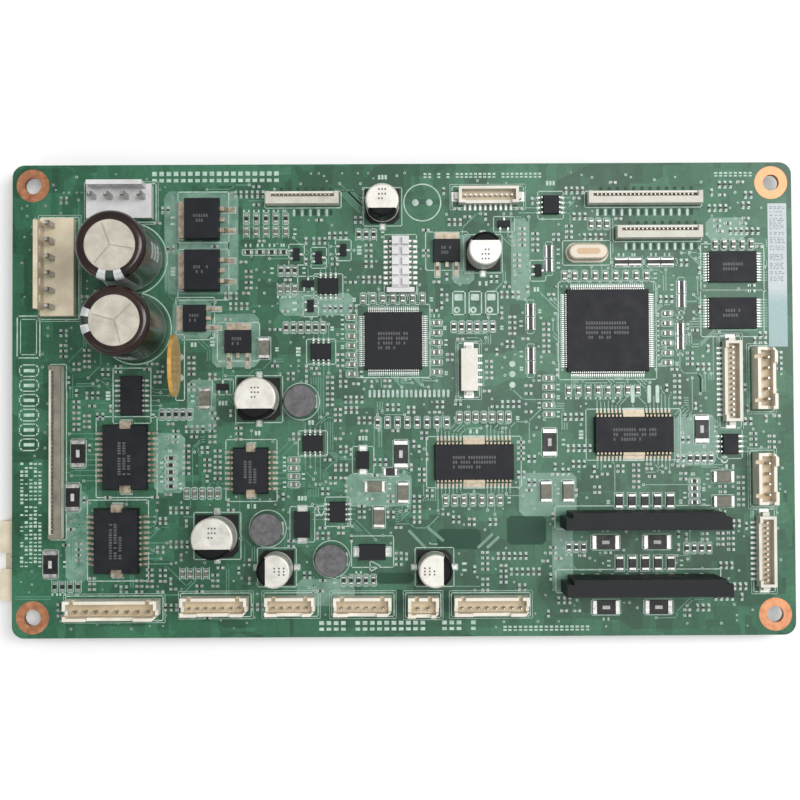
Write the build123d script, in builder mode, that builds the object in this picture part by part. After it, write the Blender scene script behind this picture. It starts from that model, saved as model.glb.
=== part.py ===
"""Servo driver board: a green circuit board with its connectors, chips, capacitors and drivers.

Frame: +Z up, component side up, z = 0 on the board's underside, origin at the centre of the
four mounting holes. Long side along X. Lengths in millimetres.
"""
from build123d import *
import os

# Board
BOARD_LENGTH = 190.0
BOARD_WIDTH = 115.0
BOARD_TOP = 1.6
CORNER_RADIUS = 3.0
HOLE_INSET = 5.0
HOLE_RADIUS = 2.0
HOLE_SPACING_X = BOARD_LENGTH - 2 * HOLE_INSET
HOLE_SPACING_Y = BOARD_WIDTH - 2 * HOLE_INSET
RING_BARREL = 0.1
RING_FOIL = 0.06
RING_TOP_RADIUS = 4.0
RING_UNDER_RADIUS = 3.0
PIN_TAIL = 1.8

# Bulk capacitors
BULK_RADIUS = 8.0
BULK_HEIGHT = 25.0
BULK_SLEEVE = 0.3
BULK_RIM = 0.15
BULK_SHOULDER = 1.3
BULK_LID_RADIUS = 5.8
BULK_GROOVE_START = 4.0
BULK_GROOVE_HEIGHT = 1.2
BULK_GROOVE_DEPTH = 0.7
VENT_WIDTH = 0.35
VENT_DEPTH = 0.35
SEAL_START = 0.4
SEAL_TOP = 2.0
BULK_LEAD_PITCH = 7.5
BULK_LEAD = 0.7
BULK_DRILL = 0.5
# x, y, turn of the marked side, and the turn of the vent's first arm from it
BULK_PLACES = {1: (-66.0, 34.5, -90, 80), 2: (-65.0, 17.5, 180, 105)}

# Surface-mount aluminium capacitors: x, y, turn of the marked side
LARGE_CAN = (10.0, 10.2)
SMALL_CAN = (8.0, 10.2)
LARGE_CAN_PLACES = [(-35.0, 0.2, -90), (-45.2, -32.9, -90)]
SMALL_CAN_PLACES = [(-4.8, 47.0, -90), (19.6, 35.4, 90), (-30.8, -40.6, 180), (7.4, -40.7, 0)]
CAN_BASE_HEIGHT = 1.0

# Power headers, 3.96 mm pitch: x, y, turn, ways
POWER_PITCH = 3.96
POWER_PIN = 1.14
POWER_HEADERS = {"power_header_6way": (-83.5, 32.3, 90, 6), "power_header_4way": (-68.5, 48.2, 0, 4)}
POWER_DEPTH = 8.2
POWER_BASE = 3.0
POWER_WALL = 1.1
POWER_WALL_HEIGHT = 9.0
POWER_WALL_INSET = 1.3
POWER_END = 3.9
POWER_PIN_OFFSET = -0.9
POWER_PIN_HEIGHT = 8.6
POWER_DRILL = 0.85

# Shrouded headers: x, y, turn, ways
DRIVER_PITCH = 2.5
DRIVER_PIN = 0.64
DRIVER_DEPTH = 4.8
DRIVER_HEIGHT = 6.0
DRIVER_END = 4.9
DRIVER_DRILL = 0.5
DRIVER_HEADERS = {
    "driver_header_8way": (-70.2, -50.3, 0, 8),
    "driver_header_2way": (4.6, -49.9, 0, 2),
    "driver_header_5way": (87.2, 4.6, 90, 5),
    "driver_header_4way": (87.2, -19.6, 90, 4),
}
SIGNAL_PITCH = 2.0
SIGNAL_PIN = 0.5
SIGNAL_DEPTH = 4.5
SIGNAL_HEIGHT = 5.6
SIGNAL_END = 3.9
SIGNAL_DRILL = 0.4
SIGNAL_HEADERS = {
    "signal_header_7way": (-45.6, -49.6, 0, 7),
    "signal_header_5way": (-27.4, -49.6, 0, 5),
    "signal_header_6way": (-10.0, -49.7, 0, 6),
    "signal_header_8way": (21.0, -49.8, 0, 8),
}
PIN_SETBACK = 0.45
SHROUD_WALL = 0.75
SHROUD_CORNER = 1.1

# Fine-pitch surface headers: x, y, turn, ways, pitch, and whether the mating face looks up
FINE_HEADERS = [
    (20.9, 49.3, 0, 10, 1.25, True),
    (79.6, 4.0, -90, 14, 1.25, True),
    (87.4, -37.1, -90, 12, 1.25, True),
    (16.0, 7.0, 90, 5, 1.75, False),
]
FINE_DEPTH = 4.0
FINE_HEIGHT = 4.2
FINE_PIN = 0.4
FINE_FOOT = 0.25
FINE_WALL = 0.7
FINE_FLOOR = 1.3
FINE_END = 3.2
FINE_POST = 3.4

# Ribbon sockets, 1 mm pitch: x, y, turn, ways
RIBBON_SOCKETS = {
    "ribbon_socket_1": (-24.2, 48.8, 180, 14),
    "ribbon_socket_2": (58.8, 48.6, 180, 24),
    "ribbon_socket_3": (62.2, 40.2, 180, 17),
    "ribbon_socket_4": (-83.8, -12.4, -90, 38),
}
RIBBON_DEPTH = 3.0
RIBBON_HEIGHT = 3.2
RIBBON_MARGIN = 4.6
RIBBON_FLOOR = 1.2
RIBBON_WALL = 0.5
RIBBON_ROW = 0.8
RIBBON_PITCH = 1.0
RIBBON_END = 1.2
RIBBON_STANDOFF = 0.3
RIBBON_TINE = 0.3
RIBBON_DRILL = 0.35
SLIDER_CLEARANCE = 0.1
SLIDER_BLADE = 0.8
SLIDER_FLANGE = 0.6

# Stand-up driver modules: x, y
MODULE_PLACES = [(56.7, -28.9), (56.8, -44.3)]
MODULE_SIZE = (38.4, 4.0, 12.6)
MODULE_BASE = 3.4
MODULE_PINS = 18
MODULE_PIN_PITCH = 1.8
MODULE_DRILL = 0.45

# Power packages: x, y, turn (the heat tab points along the turned x axis)
LARGE_TRANSISTORS = [(-48.5, 43.8, 180), (-48.5, 31.4, 180)]
SMALL_TRANSISTORS = [(-50.5, 19.9, 180), (-40.0, 14.2, 90), (10.8, 36.1, 90)]
LARGE_PACKAGE = (8.6, 10.2, 4.4)
SMALL_PACKAGE = (5.6, 6.5, 2.3)

# Leaded chips: x, y, turn, body length and width; small chips also have their leads per side
MOTOR_DRIVERS = [(-67.2, -13.7, 0, 11.0, 15.8), (-69.3, -33.9, 0, 11.0, 15.8), (-36.9, -17.1, 0, 8.6, 11.2)]
MOTOR_DRIVER_LEADS = [10, 10, 8]
MOTOR_DRIVER_HEIGHT = 3.3
SLUG_NOTCH = 1.1
SLUG_HEIGHT = 1.6
STEPPER_DRIVERS = [(17.1, -15.3, 90, 8.6, 19.2), (55.9, -8.8, 90, 8.6, 19.2)]
MEMORY_CHIPS = [(80.4, 31.9, 0, 11.6, 7.6), (80.3, 20.6, 0, 11.6, 7.6)]
# Square chips: x, y, side, leads per side
MAIN_PROCESSOR = (49.8, 16.5, 20.0, 36)
MOTION_CONTROLLER = (-2.3, 14.2, 14.0, 25)
STEPPER_HEIGHT = 2.3
MEMORY_HEIGHT = 1.1
SQUARE_CHIP_HEIGHT = 1.5
SMALL_CHIP_HEIGHT = 1.6
TINY_TRANSISTOR = (1.6, 2.9, 1.0)
# Bent leads: reach, height at the body, width, thickness
MOTOR_DRIVER_LEAD = (1.7, 1.65, 0.55, 0.3)
STEPPER_LEAD = (1.7, 1.2, 0.45, 0.25)
SQUARE_CHIP_LEAD = (1.0, 0.82, 0.22, 0.15)
MEMORY_LEAD = (0.9, 0.65, 0.3, 0.15)
SMALL_CHIP_LEAD = (1.05, 0.87, 0.42, 0.2)
DEBUG_LEAD = (1.9, 1.0, 0.5, 0.2)
WIDE_LEAD_PITCH = 1.27
STEPPER_LEAD_PITCH = 0.92
STEPPER_FIN = 5.2
MEMORY_LEAD_PITCH = 0.65
MEMORY_LEADS = 11
SMALL_CHIP_LEAD_PITCH = 1.22
FINE_LEAD_PITCH = 0.5
SMALL_CHIPS = [
    (-65.9, 1.2, 0, 5.4, 9.6, 7),
    (36.2, 47.2, 0, 4.0, 4.6, 4),
    (-18.1, 27.6, 90, 3.9, 4.9, 4),
    (-19.9, 11.7, 90, 3.9, 4.9, 4),
    (-22.0, -10.6, 90, 3.9, 4.9, 4),
    (-16.0, -27.2, 0, 3.9, 4.9, 4),
    (79.3, -11.2, 0, 3.9, 4.9, 4),
]
TINY_TRANSISTORS = [
    (-20.4, 34.6, 0), (-23.0, 28.2, 90), (-25.8, 35.4, 0), (-22.4, 22.8, 0),
    (-43.8, 3.2, 90), (-14.4, 36.4, 0), (24.8, 42.6, 90), (33.0, 31.2, 0),
]

# Round power inductors, diodes and the upright fuse
INDUCTORS = [(-24.8, -0.4), (-33.0, -31.2), (-17.5, -38.7)]
INDUCTOR_RADIUS = 3.9
DIODES = [(-24.6, -30.2, 90, 6.4, 3.8), (-7.6, -36.9, 0, 6.4, 3.8), (-9.8, -14.7, 90, 4.4, 3.0)]
DIODE_HEIGHT = 2.2
FUSE_PLACE = (-54.2, 8.0)
FUSE_RADIUS = 7.4
FUSE_THICKNESS = 3.2
FUSE_EDGE = 0.9
FUSE_LEAD = 0.6
FUSE_DRILL = 0.45
CRYSTAL_PLACE = (44.9, 35.5)
CRYSTAL_LENGTH = 9.6
CRYSTAL_WIDTH = 3.9

# Chip resistors, resistor arrays and chip capacitors: length, width, height, end cap
CHIP_SIZES = {
    "shunt": (6.4, 3.2, 0.7, 0.9),
    "array": (1.6, 3.0, 0.6, 0.3),
    "wide_resistor": (3.2, 1.6, 0.6, 0.5),
    "resistor": (1.6, 0.8, 0.5, 0.3),
    "block_capacitor": (4.8, 2.5, 1.5, 0.6),
    "capacitor": (1.6, 0.8, 0.8, 0.3),
}
CHIP_NODES = {
    "chip_resistor_bodies": ("shunt", "array", "wide_resistor", "resistor"),
    "chip_capacitor_bodies": ("block_capacitor", "capacitor"),
}
# Rows of chip parts: kind, first x, first y, turn, count, step in x, step in y
CHIP_ROWS = [
    ("shunt", 48.9, -34.9, 0, 2, 12.5, 0),
    ("shunt", 48.9, -50.6, 0, 2, 12.7, 0),
    ("shunt", -0.6, -13.3, 90, 1, 0, 0),
    ("shunt", -78.9, -12.8, 90, 1, 0, 0),
    ("shunt", -80.2, -23.4, 90, 1, 0, 0),
    ("shunt", -85.6, -39.6, 90, 1, 0, 0),
    ("shunt", 35.5, -10.6, 90, 1, 0, 0),
    ("shunt", 72.5, -7.6, 90, 1, 0, 0),
    ("array", 35.7, 32.5, 0, 2, 0, 3.3),
    ("array", 31.1, 18.3, 0, 2, 0, 3.3),
    ("array", 31.1, 7.6, 0, 2, 0, 3.3),
    ("array", 67.9, 23.7, 0, 2, 0, 3.3),
    ("array", 67.5, 13.4, 0, 2, 0, 3.3),
    ("array", 53.3, 33.2, 90, 2, 3.3, 0),
    ("array", 61.2, 33.2, 90, 2, 3.3, 0),
    ("wide_resistor", 52.3, -24.9, 90, 5, 3.1, 0),
    ("wide_resistor", 52.3, -40.0, 90, 5, 3.1, 0),
    ("wide_resistor", -3.2, -17.6, 0, 1, 0, 0),
    ("resistor", -38.0, 44.2, 90, 5, 2.4, 0),
    ("resistor", -37.6, 36.0, 0, 4, 2.9, 0),
    ("resistor", -29.6, 31.5, 90, 3, 1.7, 0),
    ("resistor", -28.4, 17.6, 90, 6, 1.8, 0),
    ("resistor", -58.6, -3.4, 90, 5, 1.7, 0),
    ("resistor", -56.4, -14.0, 0, 5, 0, -1.7),
    ("resistor", -84.6, -45.0, 90, 4, 1.9, 0),
    ("resistor", -10.6, 40.2, 90, 3, 1.8, 0),
    ("resistor", -6.2, -5.6, 90, 8, 2.4, 0),
    ("resistor", 12.4, 17.6, 90, 6, 1.9, 0),
    ("resistor", 69.6, -14.6, 90, 4, 1.7, 0),
    ("resistor", 70.6, -20.2, 0, 4, 0, -1.7),
    ("resistor", 40.0, -36.0, 90, 3, 1.8, 0),
    ("resistor", 68.6, -36.4, 90, 4, 1.8, 0),
    ("resistor", -14.6, -43.8, 90, 5, 1.8, 0),
    ("block_capacitor", -0.1, -22.6, 90, 1, 0, 0),
    ("block_capacitor", -6.0, -28.5, 90, 1, 0, 0),
    ("block_capacitor", -7.0, -21.1, 0, 1, 0, 0),
    ("block_capacitor", -48.1, 0.4, 90, 1, 0, 0),
    ("block_capacitor", -33.7, 12.6, 90, 1, 0, 0),
    ("block_capacitor", 34.5, -22.5, 90, 2, 5.4, 0),
    ("block_capacitor", 77.5, -19.1, 0, 1, 0, 0),
    ("block_capacitor", 77.5, -25.1, 0, 1, 0, 0),
    ("capacitor", -38.0, 41.0, 90, 5, 2.4, 0),
    ("capacitor", -29.8, 27.0, 90, 3, 1.8, 0),
    ("capacitor", -9.6, 24.6, 90, 7, 2.4, 0),
    ("capacitor", -12.4, 6.2, 0, 7, 0, 2.3),
    ("capacitor", 8.2, 6.6, 0, 6, 0, 2.4),
    ("capacitor", 35.4, 5.0, 0, 5, 0, -2.2),
    ("capacitor", 39.4, 29.8, 90, 9, 2.5, 0),
    ("capacitor", 40.2, 2.0, 90, 8, 2.4, 0),
    ("capacitor", 64.4, 8.6, 0, 6, 0, 2.4),
    ("capacitor", 13.6, -4.4, 90, 7, 2.0, 0),
    ("capacitor", 10.2, -24.6, 90, 7, 2.2, 0),
    ("capacitor", -26.6, -14.6, 0, 4, 0, -2.0),
    ("capacitor", -52.6, -22.6, 90, 5, 1.9, 0),
    ("capacitor", -53.6, -42.0, 90, 4, 1.9, 0),
    ("capacitor", 76.2, 37.4, 90, 5, 2.2, 0),
    ("capacitor", 46.0, 42.6, 90, 3, 1.9, 0),
]

# Two-row debug header and the plug receptacle under the left edge
DEBUG_PLACE = (-0.5, 33.4)
DEBUG_SIZE = (4.2, 12.4, 3.6)
DEBUG_WAYS = 5
DEBUG_LEADS = 9
UNDERSIDE_SIZE = (7.8, 19.4, 5.6)
UNDERSIDE_PLACE = (-94.4, -38.9)
UNDERSIDE_WAYS = 10

LABEL_SIZE = (4.6, 35.0, 0.12)
LABEL_PLACE = (91.4, 29.9)


def seat(x, y, turn=0, height=BOARD_TOP):
    """A plane over the board at (x, y), with its x axis turned about the vertical."""
    return Plane(origin=(x, y, height)).rotated((0, 0, turn))


def save(piece, name):
    """Label a finished piece and write it as one STEP file."""
    piece.part.label = name
    export_step(piece.part, f"parts/{name}.step")


def pin_row(header, pitch, setback=0.0):
    """Board positions of a header's pins, in a row set back from its centre line."""
    x, y, turn, ways = header[:4]
    base = seat(x, y, turn)
    first = -pitch * (ways - 1) / 2
    points = [base.from_local_coords((first + pitch * way, -setback, 0)) for way in range(ways)]
    return [(point.X, point.Y) for point in points]


def block(base, size, z=0.0, at=(0.0, 0.0), mode=Mode.ADD):
    """A box of the given length, width and height standing z above a plane."""
    with BuildSketch(base.offset(z)) as outline:
        with Locations(at):
            Rectangle(size[0], size[1])
    extrude(outline.sketch, amount=size[2], mode=mode)


def bars(places, width, low, high, mode=Mode.ADD):
    """Upright square bars at board positions, from one height to another."""
    with BuildSketch(Plane.XY.offset(low)) as outline:
        with Locations(*places):
            Rectangle(width, width)
    extrude(outline.sketch, amount=high - low, mode=mode)


def pointed_bars(places, width, low, high):
    """Upright square pins whose upper ends taper to a blunt point."""
    bars(places, width, low, high)
    with BuildSketch(Plane.XY.offset(high)) as tip:
        with Locations(*places):
            Rectangle(width, width)
    extrude(tip.sketch, amount=width * 0.7, taper=15)


def drill(places, radius):
    """Round holes right through the board."""
    with BuildSketch(Plane.XY) as holes:
        with Locations(*places):
            Circle(radius)
    extrude(holes.sketch, amount=BOARD_TOP, mode=Mode.SUBTRACT)


def moulded_body(base, length, width, height, standoff=0.1, band=0.3, taper=12):
    """A moulded chip body: a level band at lead height with drafted faces above and below."""
    middle = standoff + (height - standoff) * 0.45
    with BuildSketch(base.offset(middle)) as outline:
        Rectangle(length, width)
    extrude(outline.sketch, amount=band / 2, both=True)
    with BuildSketch(base.offset(middle + band / 2)) as upper:
        Rectangle(length, width)
    extrude(upper.sketch, amount=height - middle - band / 2, taper=taper)
    with BuildSketch(base.offset(middle - band / 2)) as lower:
        Rectangle(length, width)
    extrude(lower.sketch, amount=standoff - middle + band / 2, taper=taper)
    dimple = min(length, width) * 0.06
    inset = dimple * 3 + height * 0.2
    with BuildSketch(base.offset(height)) as mark:
        with Locations((inset - length / 2, width / 2 - inset)):
            Circle(dimple)
    extrude(mark.sketch, amount=-0.1, mode=Mode.SUBTRACT)


def gull_lead(reach, height, width, thickness):
    """One bent lead: out from the body at lead height, down, then flat on the board."""
    shoulder = reach * 0.3
    heel = reach * 0.55
    with BuildPart() as lead:
        with BuildSketch(Plane.XZ) as side:
            with BuildLine():
                Polyline(
                    (0, height), (shoulder, height), (heel, thickness), (reach, thickness),
                    (reach, 0), (heel - thickness, 0), (shoulder - thickness, height - thickness),
                    (0, height - thickness), close=True,
                )
            make_face()
        extrude(side.sketch, amount=width / 2, both=True)
    return lead.part


def lead_row(base, side_turn, half_body, pitch, count, lead, shift=0.0):
    """A row of copies of one lead along the chosen side of a body."""
    side = base.rotated((0, 0, side_turn))
    with Locations(side.location * Location((half_body, shift, 0))):
        with GridLocations(1, pitch, 1, count):
            add(lead)


# ---------------------------------------------------------------- board and its hardware
def make_board():
    with BuildPart() as board:
        with BuildSketch(Plane.XY):
            RectangleRounded(BOARD_LENGTH, BOARD_WIDTH, CORNER_RADIUS)
        extrude(amount=BOARD_TOP)
        with BuildSketch(Plane.XY):
            with GridLocations(HOLE_SPACING_X, HOLE_SPACING_Y, 2, 2):
                Circle(HOLE_RADIUS + RING_BARREL)
        extrude(amount=BOARD_TOP, mode=Mode.SUBTRACT)
        for header in POWER_HEADERS.values():
            drill(pin_row(header, POWER_PITCH, POWER_PIN_OFFSET), POWER_DRILL)
        for header in DRIVER_HEADERS.values():
            drill(pin_row(header, DRIVER_PITCH, PIN_SETBACK), DRIVER_DRILL)
        for header in SIGNAL_HEADERS.values():
            drill(pin_row(header, SIGNAL_PITCH, PIN_SETBACK), SIGNAL_DRILL)
        for socket in RIBBON_SOCKETS.values():
            near, far = ribbon_tails(socket)
            drill(near + far, RIBBON_DRILL)
        for place in MODULE_PLACES:
            drill(module_pins(place), MODULE_DRILL)
        for place in BULK_PLACES.values():
            drill(bulk_lead_places(place), BULK_DRILL)
        drill(fuse_lead_places(), FUSE_DRILL)
    save(board, "circuit_board")


def make_mounting_rings():
    with BuildPart() as rings:
        with BuildSketch(Plane.XY.offset(-RING_FOIL)):
            with GridLocations(HOLE_SPACING_X, HOLE_SPACING_Y, 2, 2):
                Circle(HOLE_RADIUS + RING_BARREL)
        extrude(amount=BOARD_TOP + 2 * RING_FOIL)
        with BuildSketch(Plane.XY.offset(BOARD_TOP)):
            with GridLocations(HOLE_SPACING_X, HOLE_SPACING_Y, 2, 2):
                Circle(RING_TOP_RADIUS)
        extrude(amount=RING_FOIL)
        with BuildSketch(Plane.XY.offset(-RING_FOIL)):
            with GridLocations(HOLE_SPACING_X, HOLE_SPACING_Y, 2, 2):
                Circle(RING_UNDER_RADIUS)
        extrude(amount=RING_FOIL)
        with BuildSketch(Plane.XY.offset(-RING_FOIL)):
            with GridLocations(HOLE_SPACING_X, HOLE_SPACING_Y, 2, 2):
                Circle(HOLE_RADIUS)
        extrude(amount=BOARD_TOP + 2 * RING_FOIL, mode=Mode.SUBTRACT)
    save(rings, "mounting_hole_rings")


def make_label():
    with BuildPart() as label:
        block(seat(*LABEL_PLACE), LABEL_SIZE)
    save(label, "identification_label")


# ---------------------------------------------------------------- bulk capacitors
def bulk_lead_places(place):
    """The two lead holes of an upright capacitor."""
    return pin_row((*place[:3], 2), BULK_LEAD_PITCH)


def shouldered_post(base, low, high, radius, shoulder):
    """A plain round post with a rounded upper edge."""
    with BuildPart() as post:
        with BuildSketch(base.offset(low)):
            Circle(radius)
        extrude(amount=high - low)
        fillet(post.edges().group_by(Axis.Z)[-1], shoulder)
    return post.part


def make_bulk_capacitor(number, place):
    x, y, turn, vent_turn = place
    base = seat(x, y, turn)
    can_radius = BULK_RADIUS - BULK_SLEEVE
    with BuildPart() as can:
        add(shouldered_post(base, SEAL_TOP, BULK_HEIGHT, can_radius, BULK_SHOULDER))
        with BuildSketch(base.offset(BULK_GROOVE_START)):
            Circle(can_radius)
            Circle(can_radius - BULK_GROOVE_DEPTH, mode=Mode.SUBTRACT)
        extrude(amount=BULK_GROOVE_HEIGHT, mode=Mode.SUBTRACT)
        with BuildSketch(base.offset(BULK_HEIGHT)):
            for arm in (0, 120, 240):
                with Locations(Location((0, 0, 0), (0, 0, vent_turn + arm))):
                    Rectangle(BULK_LID_RADIUS * 0.9, VENT_WIDTH, align=(Align.MIN, Align.CENTER))
        extrude(amount=-VENT_DEPTH, mode=Mode.SUBTRACT)
    save(can, f"bulk_capacitor_{number}_can")
    with BuildPart() as sleeve:
        add(shouldered_post(base, BOARD_TOP, BULK_HEIGHT + BULK_RIM, BULK_RADIUS, BULK_SHOULDER + BULK_RIM))
        with BuildSketch(base.offset(BOARD_TOP)):
            Circle(can_radius)
        extrude(amount=SEAL_TOP - BOARD_TOP, mode=Mode.SUBTRACT)
        add(shouldered_post(base, SEAL_TOP, BULK_HEIGHT, can_radius, BULK_SHOULDER), mode=Mode.SUBTRACT)
        with BuildSketch(base.offset(BULK_HEIGHT)):
            Circle(BULK_LID_RADIUS)
        extrude(amount=BULK_RIM, mode=Mode.SUBTRACT)
    save(sleeve, f"bulk_capacitor_{number}_sleeve")


def make_bulk_seals():
    with BuildPart() as seals:
        for place in BULK_PLACES.values():
            with BuildSketch(seat(*place[:3]).offset(SEAL_START)) as bung:
                Circle(BULK_RADIUS - BULK_SLEEVE - 0.4)
            extrude(bung.sketch, amount=SEAL_TOP - SEAL_START)
            places = bulk_lead_places(place)
            bars(places, BULK_LEAD, BOARD_TOP + SEAL_START, BOARD_TOP + SEAL_TOP, Mode.SUBTRACT)
    save(seals, "bulk_capacitor_seals")


def make_wire_leads():
    with BuildPart() as leads:
        for place in BULK_PLACES.values():
            bars(bulk_lead_places(place), BULK_LEAD, -PIN_TAIL, BOARD_TOP + SEAL_TOP)
        bars(fuse_lead_places(), FUSE_LEAD, -PIN_TAIL, BOARD_TOP + FUSE_RADIUS)
    save(leads, "wire_leads")


# ---------------------------------------------------------------- surface-mount can capacitors
def can_capacitors():
    """Every surface-mount can: its plane, diameter and height."""
    large = [(seat(*place), *LARGE_CAN) for place in LARGE_CAN_PLACES]
    small = [(seat(*place), *SMALL_CAN) for place in SMALL_CAN_PLACES]
    return large + small


def make_can_capacitors():
    with BuildPart() as cans:
        for base, diameter, height in can_capacitors():
            with BuildSketch(base.offset(CAN_BASE_HEIGHT)) as body:
                Circle(diameter / 2)
            extrude(body.sketch, amount=height - CAN_BASE_HEIGHT)
            with BuildSketch(base.offset(CAN_BASE_HEIGHT + 1.2)) as groove:
                Circle(diameter / 2)
                Circle(diameter / 2 - 0.4, mode=Mode.SUBTRACT)
            extrude(groove.sketch, amount=0.8, mode=Mode.SUBTRACT)
        fillet(cans.edges().filter_by(GeomType.CIRCLE).group_by(Axis.Z)[-1], 0.45)
    save(cans, "smd_capacitor_cans")
    with BuildPart() as bases:
        for base, diameter, _ in can_capacitors():
            side = diameter + 0.3
            with BuildSketch(base.offset(0.15)) as plate:
                Rectangle(side, side)
                chamfer(plate.vertices().group_by(Axis.X)[-1], 1.4)
            extrude(plate.sketch, amount=CAN_BASE_HEIGHT - 0.15)
            block(base, (side, 1.0, 0.1), 0.15, mode=Mode.SUBTRACT)
    save(bases, "smd_capacitor_bases")


# ---------------------------------------------------------------- power headers
def make_power_header(name, header):
    x, y, turn, ways = header
    base = seat(x, y, turn)
    length = POWER_PITCH * (ways - 1) + POWER_END
    back = POWER_DEPTH / 2
    with BuildPart() as housing:
        block(base, (length, POWER_DEPTH, POWER_BASE))
        block(base, (length - 2 * POWER_WALL_INSET, POWER_WALL, POWER_WALL_HEIGHT),
              at=(0, back - POWER_WALL / 2))
        with BuildSketch(base.offset(POWER_BASE + 3.6)) as windows:
            with Locations((0, back - POWER_WALL / 2)):
                with GridLocations(POWER_PITCH, 1, ways - 1, 1):
                    Rectangle(1.6, POWER_WALL + 0.1)
        extrude(windows.sketch, amount=1.2, mode=Mode.SUBTRACT)
        block(base, (length - 1.6, 0.8, 0.5), at=(0, 0.4 - back), mode=Mode.SUBTRACT)
        places = pin_row(header, POWER_PITCH, POWER_PIN_OFFSET)
        bars(places, POWER_PIN, BOARD_TOP, BOARD_TOP + POWER_BASE, Mode.SUBTRACT)
    save(housing, name)


def make_power_pins():
    with BuildPart() as pins:
        for header in POWER_HEADERS.values():
            places = pin_row(header, POWER_PITCH, POWER_PIN_OFFSET)
            pointed_bars(places, POWER_PIN, -PIN_TAIL, BOARD_TOP + POWER_PIN_HEIGHT)
    save(pins, "power_header_pins")


# ---------------------------------------------------------------- shrouded headers
def corner_order(base, edge):
    """How far an upright edge lies towards the keyed corner of a header."""
    local = base.to_local_coords(edge.center())
    return local.X - local.Y


def make_shrouded_header(name, header, pitch, depth, height, pin, ends):
    x, y, turn, ways = header
    base = seat(x, y, turn)
    length = pitch * (ways - 1) + ends
    wall = SHROUD_WALL
    floor = height * 0.3
    with BuildPart() as housing:
        block(base, (length, depth, height))
        corners = housing.edges().filter_by(Axis.Z)
        chamfer(corners.sort_by(lambda edge: corner_order(base, edge))[-1], SHROUD_CORNER)
        block(base, (length - 2 * wall, depth - 2 * wall, height), floor, mode=Mode.SUBTRACT)
        for end in (-1, 1):
            block(base, (1.0, wall * 1.4, height), floor * 1.6,
                  at=(end * (length / 2 - wall - 1.4), depth / 2 - wall / 2), mode=Mode.SUBTRACT)
            block(base, (wall * 1.4, 1.4, height), height * 0.55,
                  at=(end * (length / 2 - wall / 2), -depth * 0.12), mode=Mode.SUBTRACT)
        block(base, (length * 0.5, wall * 1.4, height), height * 0.72,
              at=(0, -depth / 2 + wall / 2), mode=Mode.SUBTRACT)
        bars(pin_row(header, pitch, PIN_SETBACK), pin, BOARD_TOP, BOARD_TOP + floor, Mode.SUBTRACT)
    save(housing, name)


def make_header_pins(name, headers, pitch, pin, height):
    with BuildPart() as pins:
        for header in headers.values():
            pointed_bars(pin_row(header, pitch, PIN_SETBACK), pin, -PIN_TAIL, BOARD_TOP + height * 0.78)
    save(pins, name)


# ---------------------------------------------------------------- fine-pitch surface headers
def make_fine_headers():
    with BuildPart() as housings:
        for x, y, turn, ways, pitch, upward in FINE_HEADERS:
            base = seat(x, y, turn)
            length = pitch * (ways - 1) + FINE_END
            block(base, (length, FINE_DEPTH, FINE_HEIGHT - 0.3), 0.3)
            if upward:
                block(base, (length - 2 * FINE_WALL, FINE_DEPTH - 2 * FINE_WALL, FINE_HEIGHT), FINE_FLOOR,
                      mode=Mode.SUBTRACT)
                block(base, (length - FINE_END, 1.0, FINE_HEIGHT), 3.0, at=(0, 0.3 - FINE_DEPTH / 2),
                      mode=Mode.SUBTRACT)
            else:
                mouth = (length - 2 * FINE_WALL, FINE_DEPTH - FINE_WALL, FINE_POST + 0.1 - FINE_FLOOR)
                block(base, mouth, FINE_FLOOR, at=(0, FINE_WALL / 2), mode=Mode.SUBTRACT)
            for end in (-1, 1):
                block(base, (0.9, 1.6, 2.0), 0.3, at=(end * (length / 2 + 0.45), 0))
            places = pin_row((x, y, turn, ways), pitch)
            bars(places, FINE_PIN, BOARD_TOP + 0.3, BOARD_TOP + FINE_FLOOR, Mode.SUBTRACT)
    save(housings, "fine_pitch_header_housings")
    with BuildPart() as contacts:
        for x, y, turn, ways, pitch, _ in FINE_HEADERS:
            base = seat(x, y, turn)
            length = pitch * (ways - 1) + FINE_END
            bars(pin_row((x, y, turn, ways), pitch), FINE_PIN, BOARD_TOP, BOARD_TOP + FINE_POST)
            with BuildSketch(base) as feet:
                with Locations((0, -1.5)):
                    with GridLocations(pitch, 1, ways, 1):
                        Rectangle(FINE_PIN, 3.4)
            extrude(feet.sketch, amount=FINE_FOOT)
            for end in (-1, 1):
                block(base, (1.7, 2.2, FINE_FOOT), at=(end * (length / 2 + 0.75), 0))
        lead = gull_lead(*DEBUG_LEAD)
        for side in (0, 180):
            lead_row(seat(*DEBUG_PLACE), side, DEBUG_SIZE[0] / 2, WIDE_LEAD_PITCH, DEBUG_LEADS, lead)
    save(contacts, "fine_pitch_header_contacts")


# ---------------------------------------------------------------- ribbon sockets and sliders
def ribbon_tails(socket):
    """Tail positions of a ribbon socket, in the near and the far staggered rows."""
    x, y, turn, ways = socket
    near = pin_row((x, y, turn, ways), RIBBON_PITCH, RIBBON_ROW)
    far = pin_row((x, y, turn, ways), RIBBON_PITCH, -RIBBON_ROW)
    return near[0::2], far[1::2]


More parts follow.
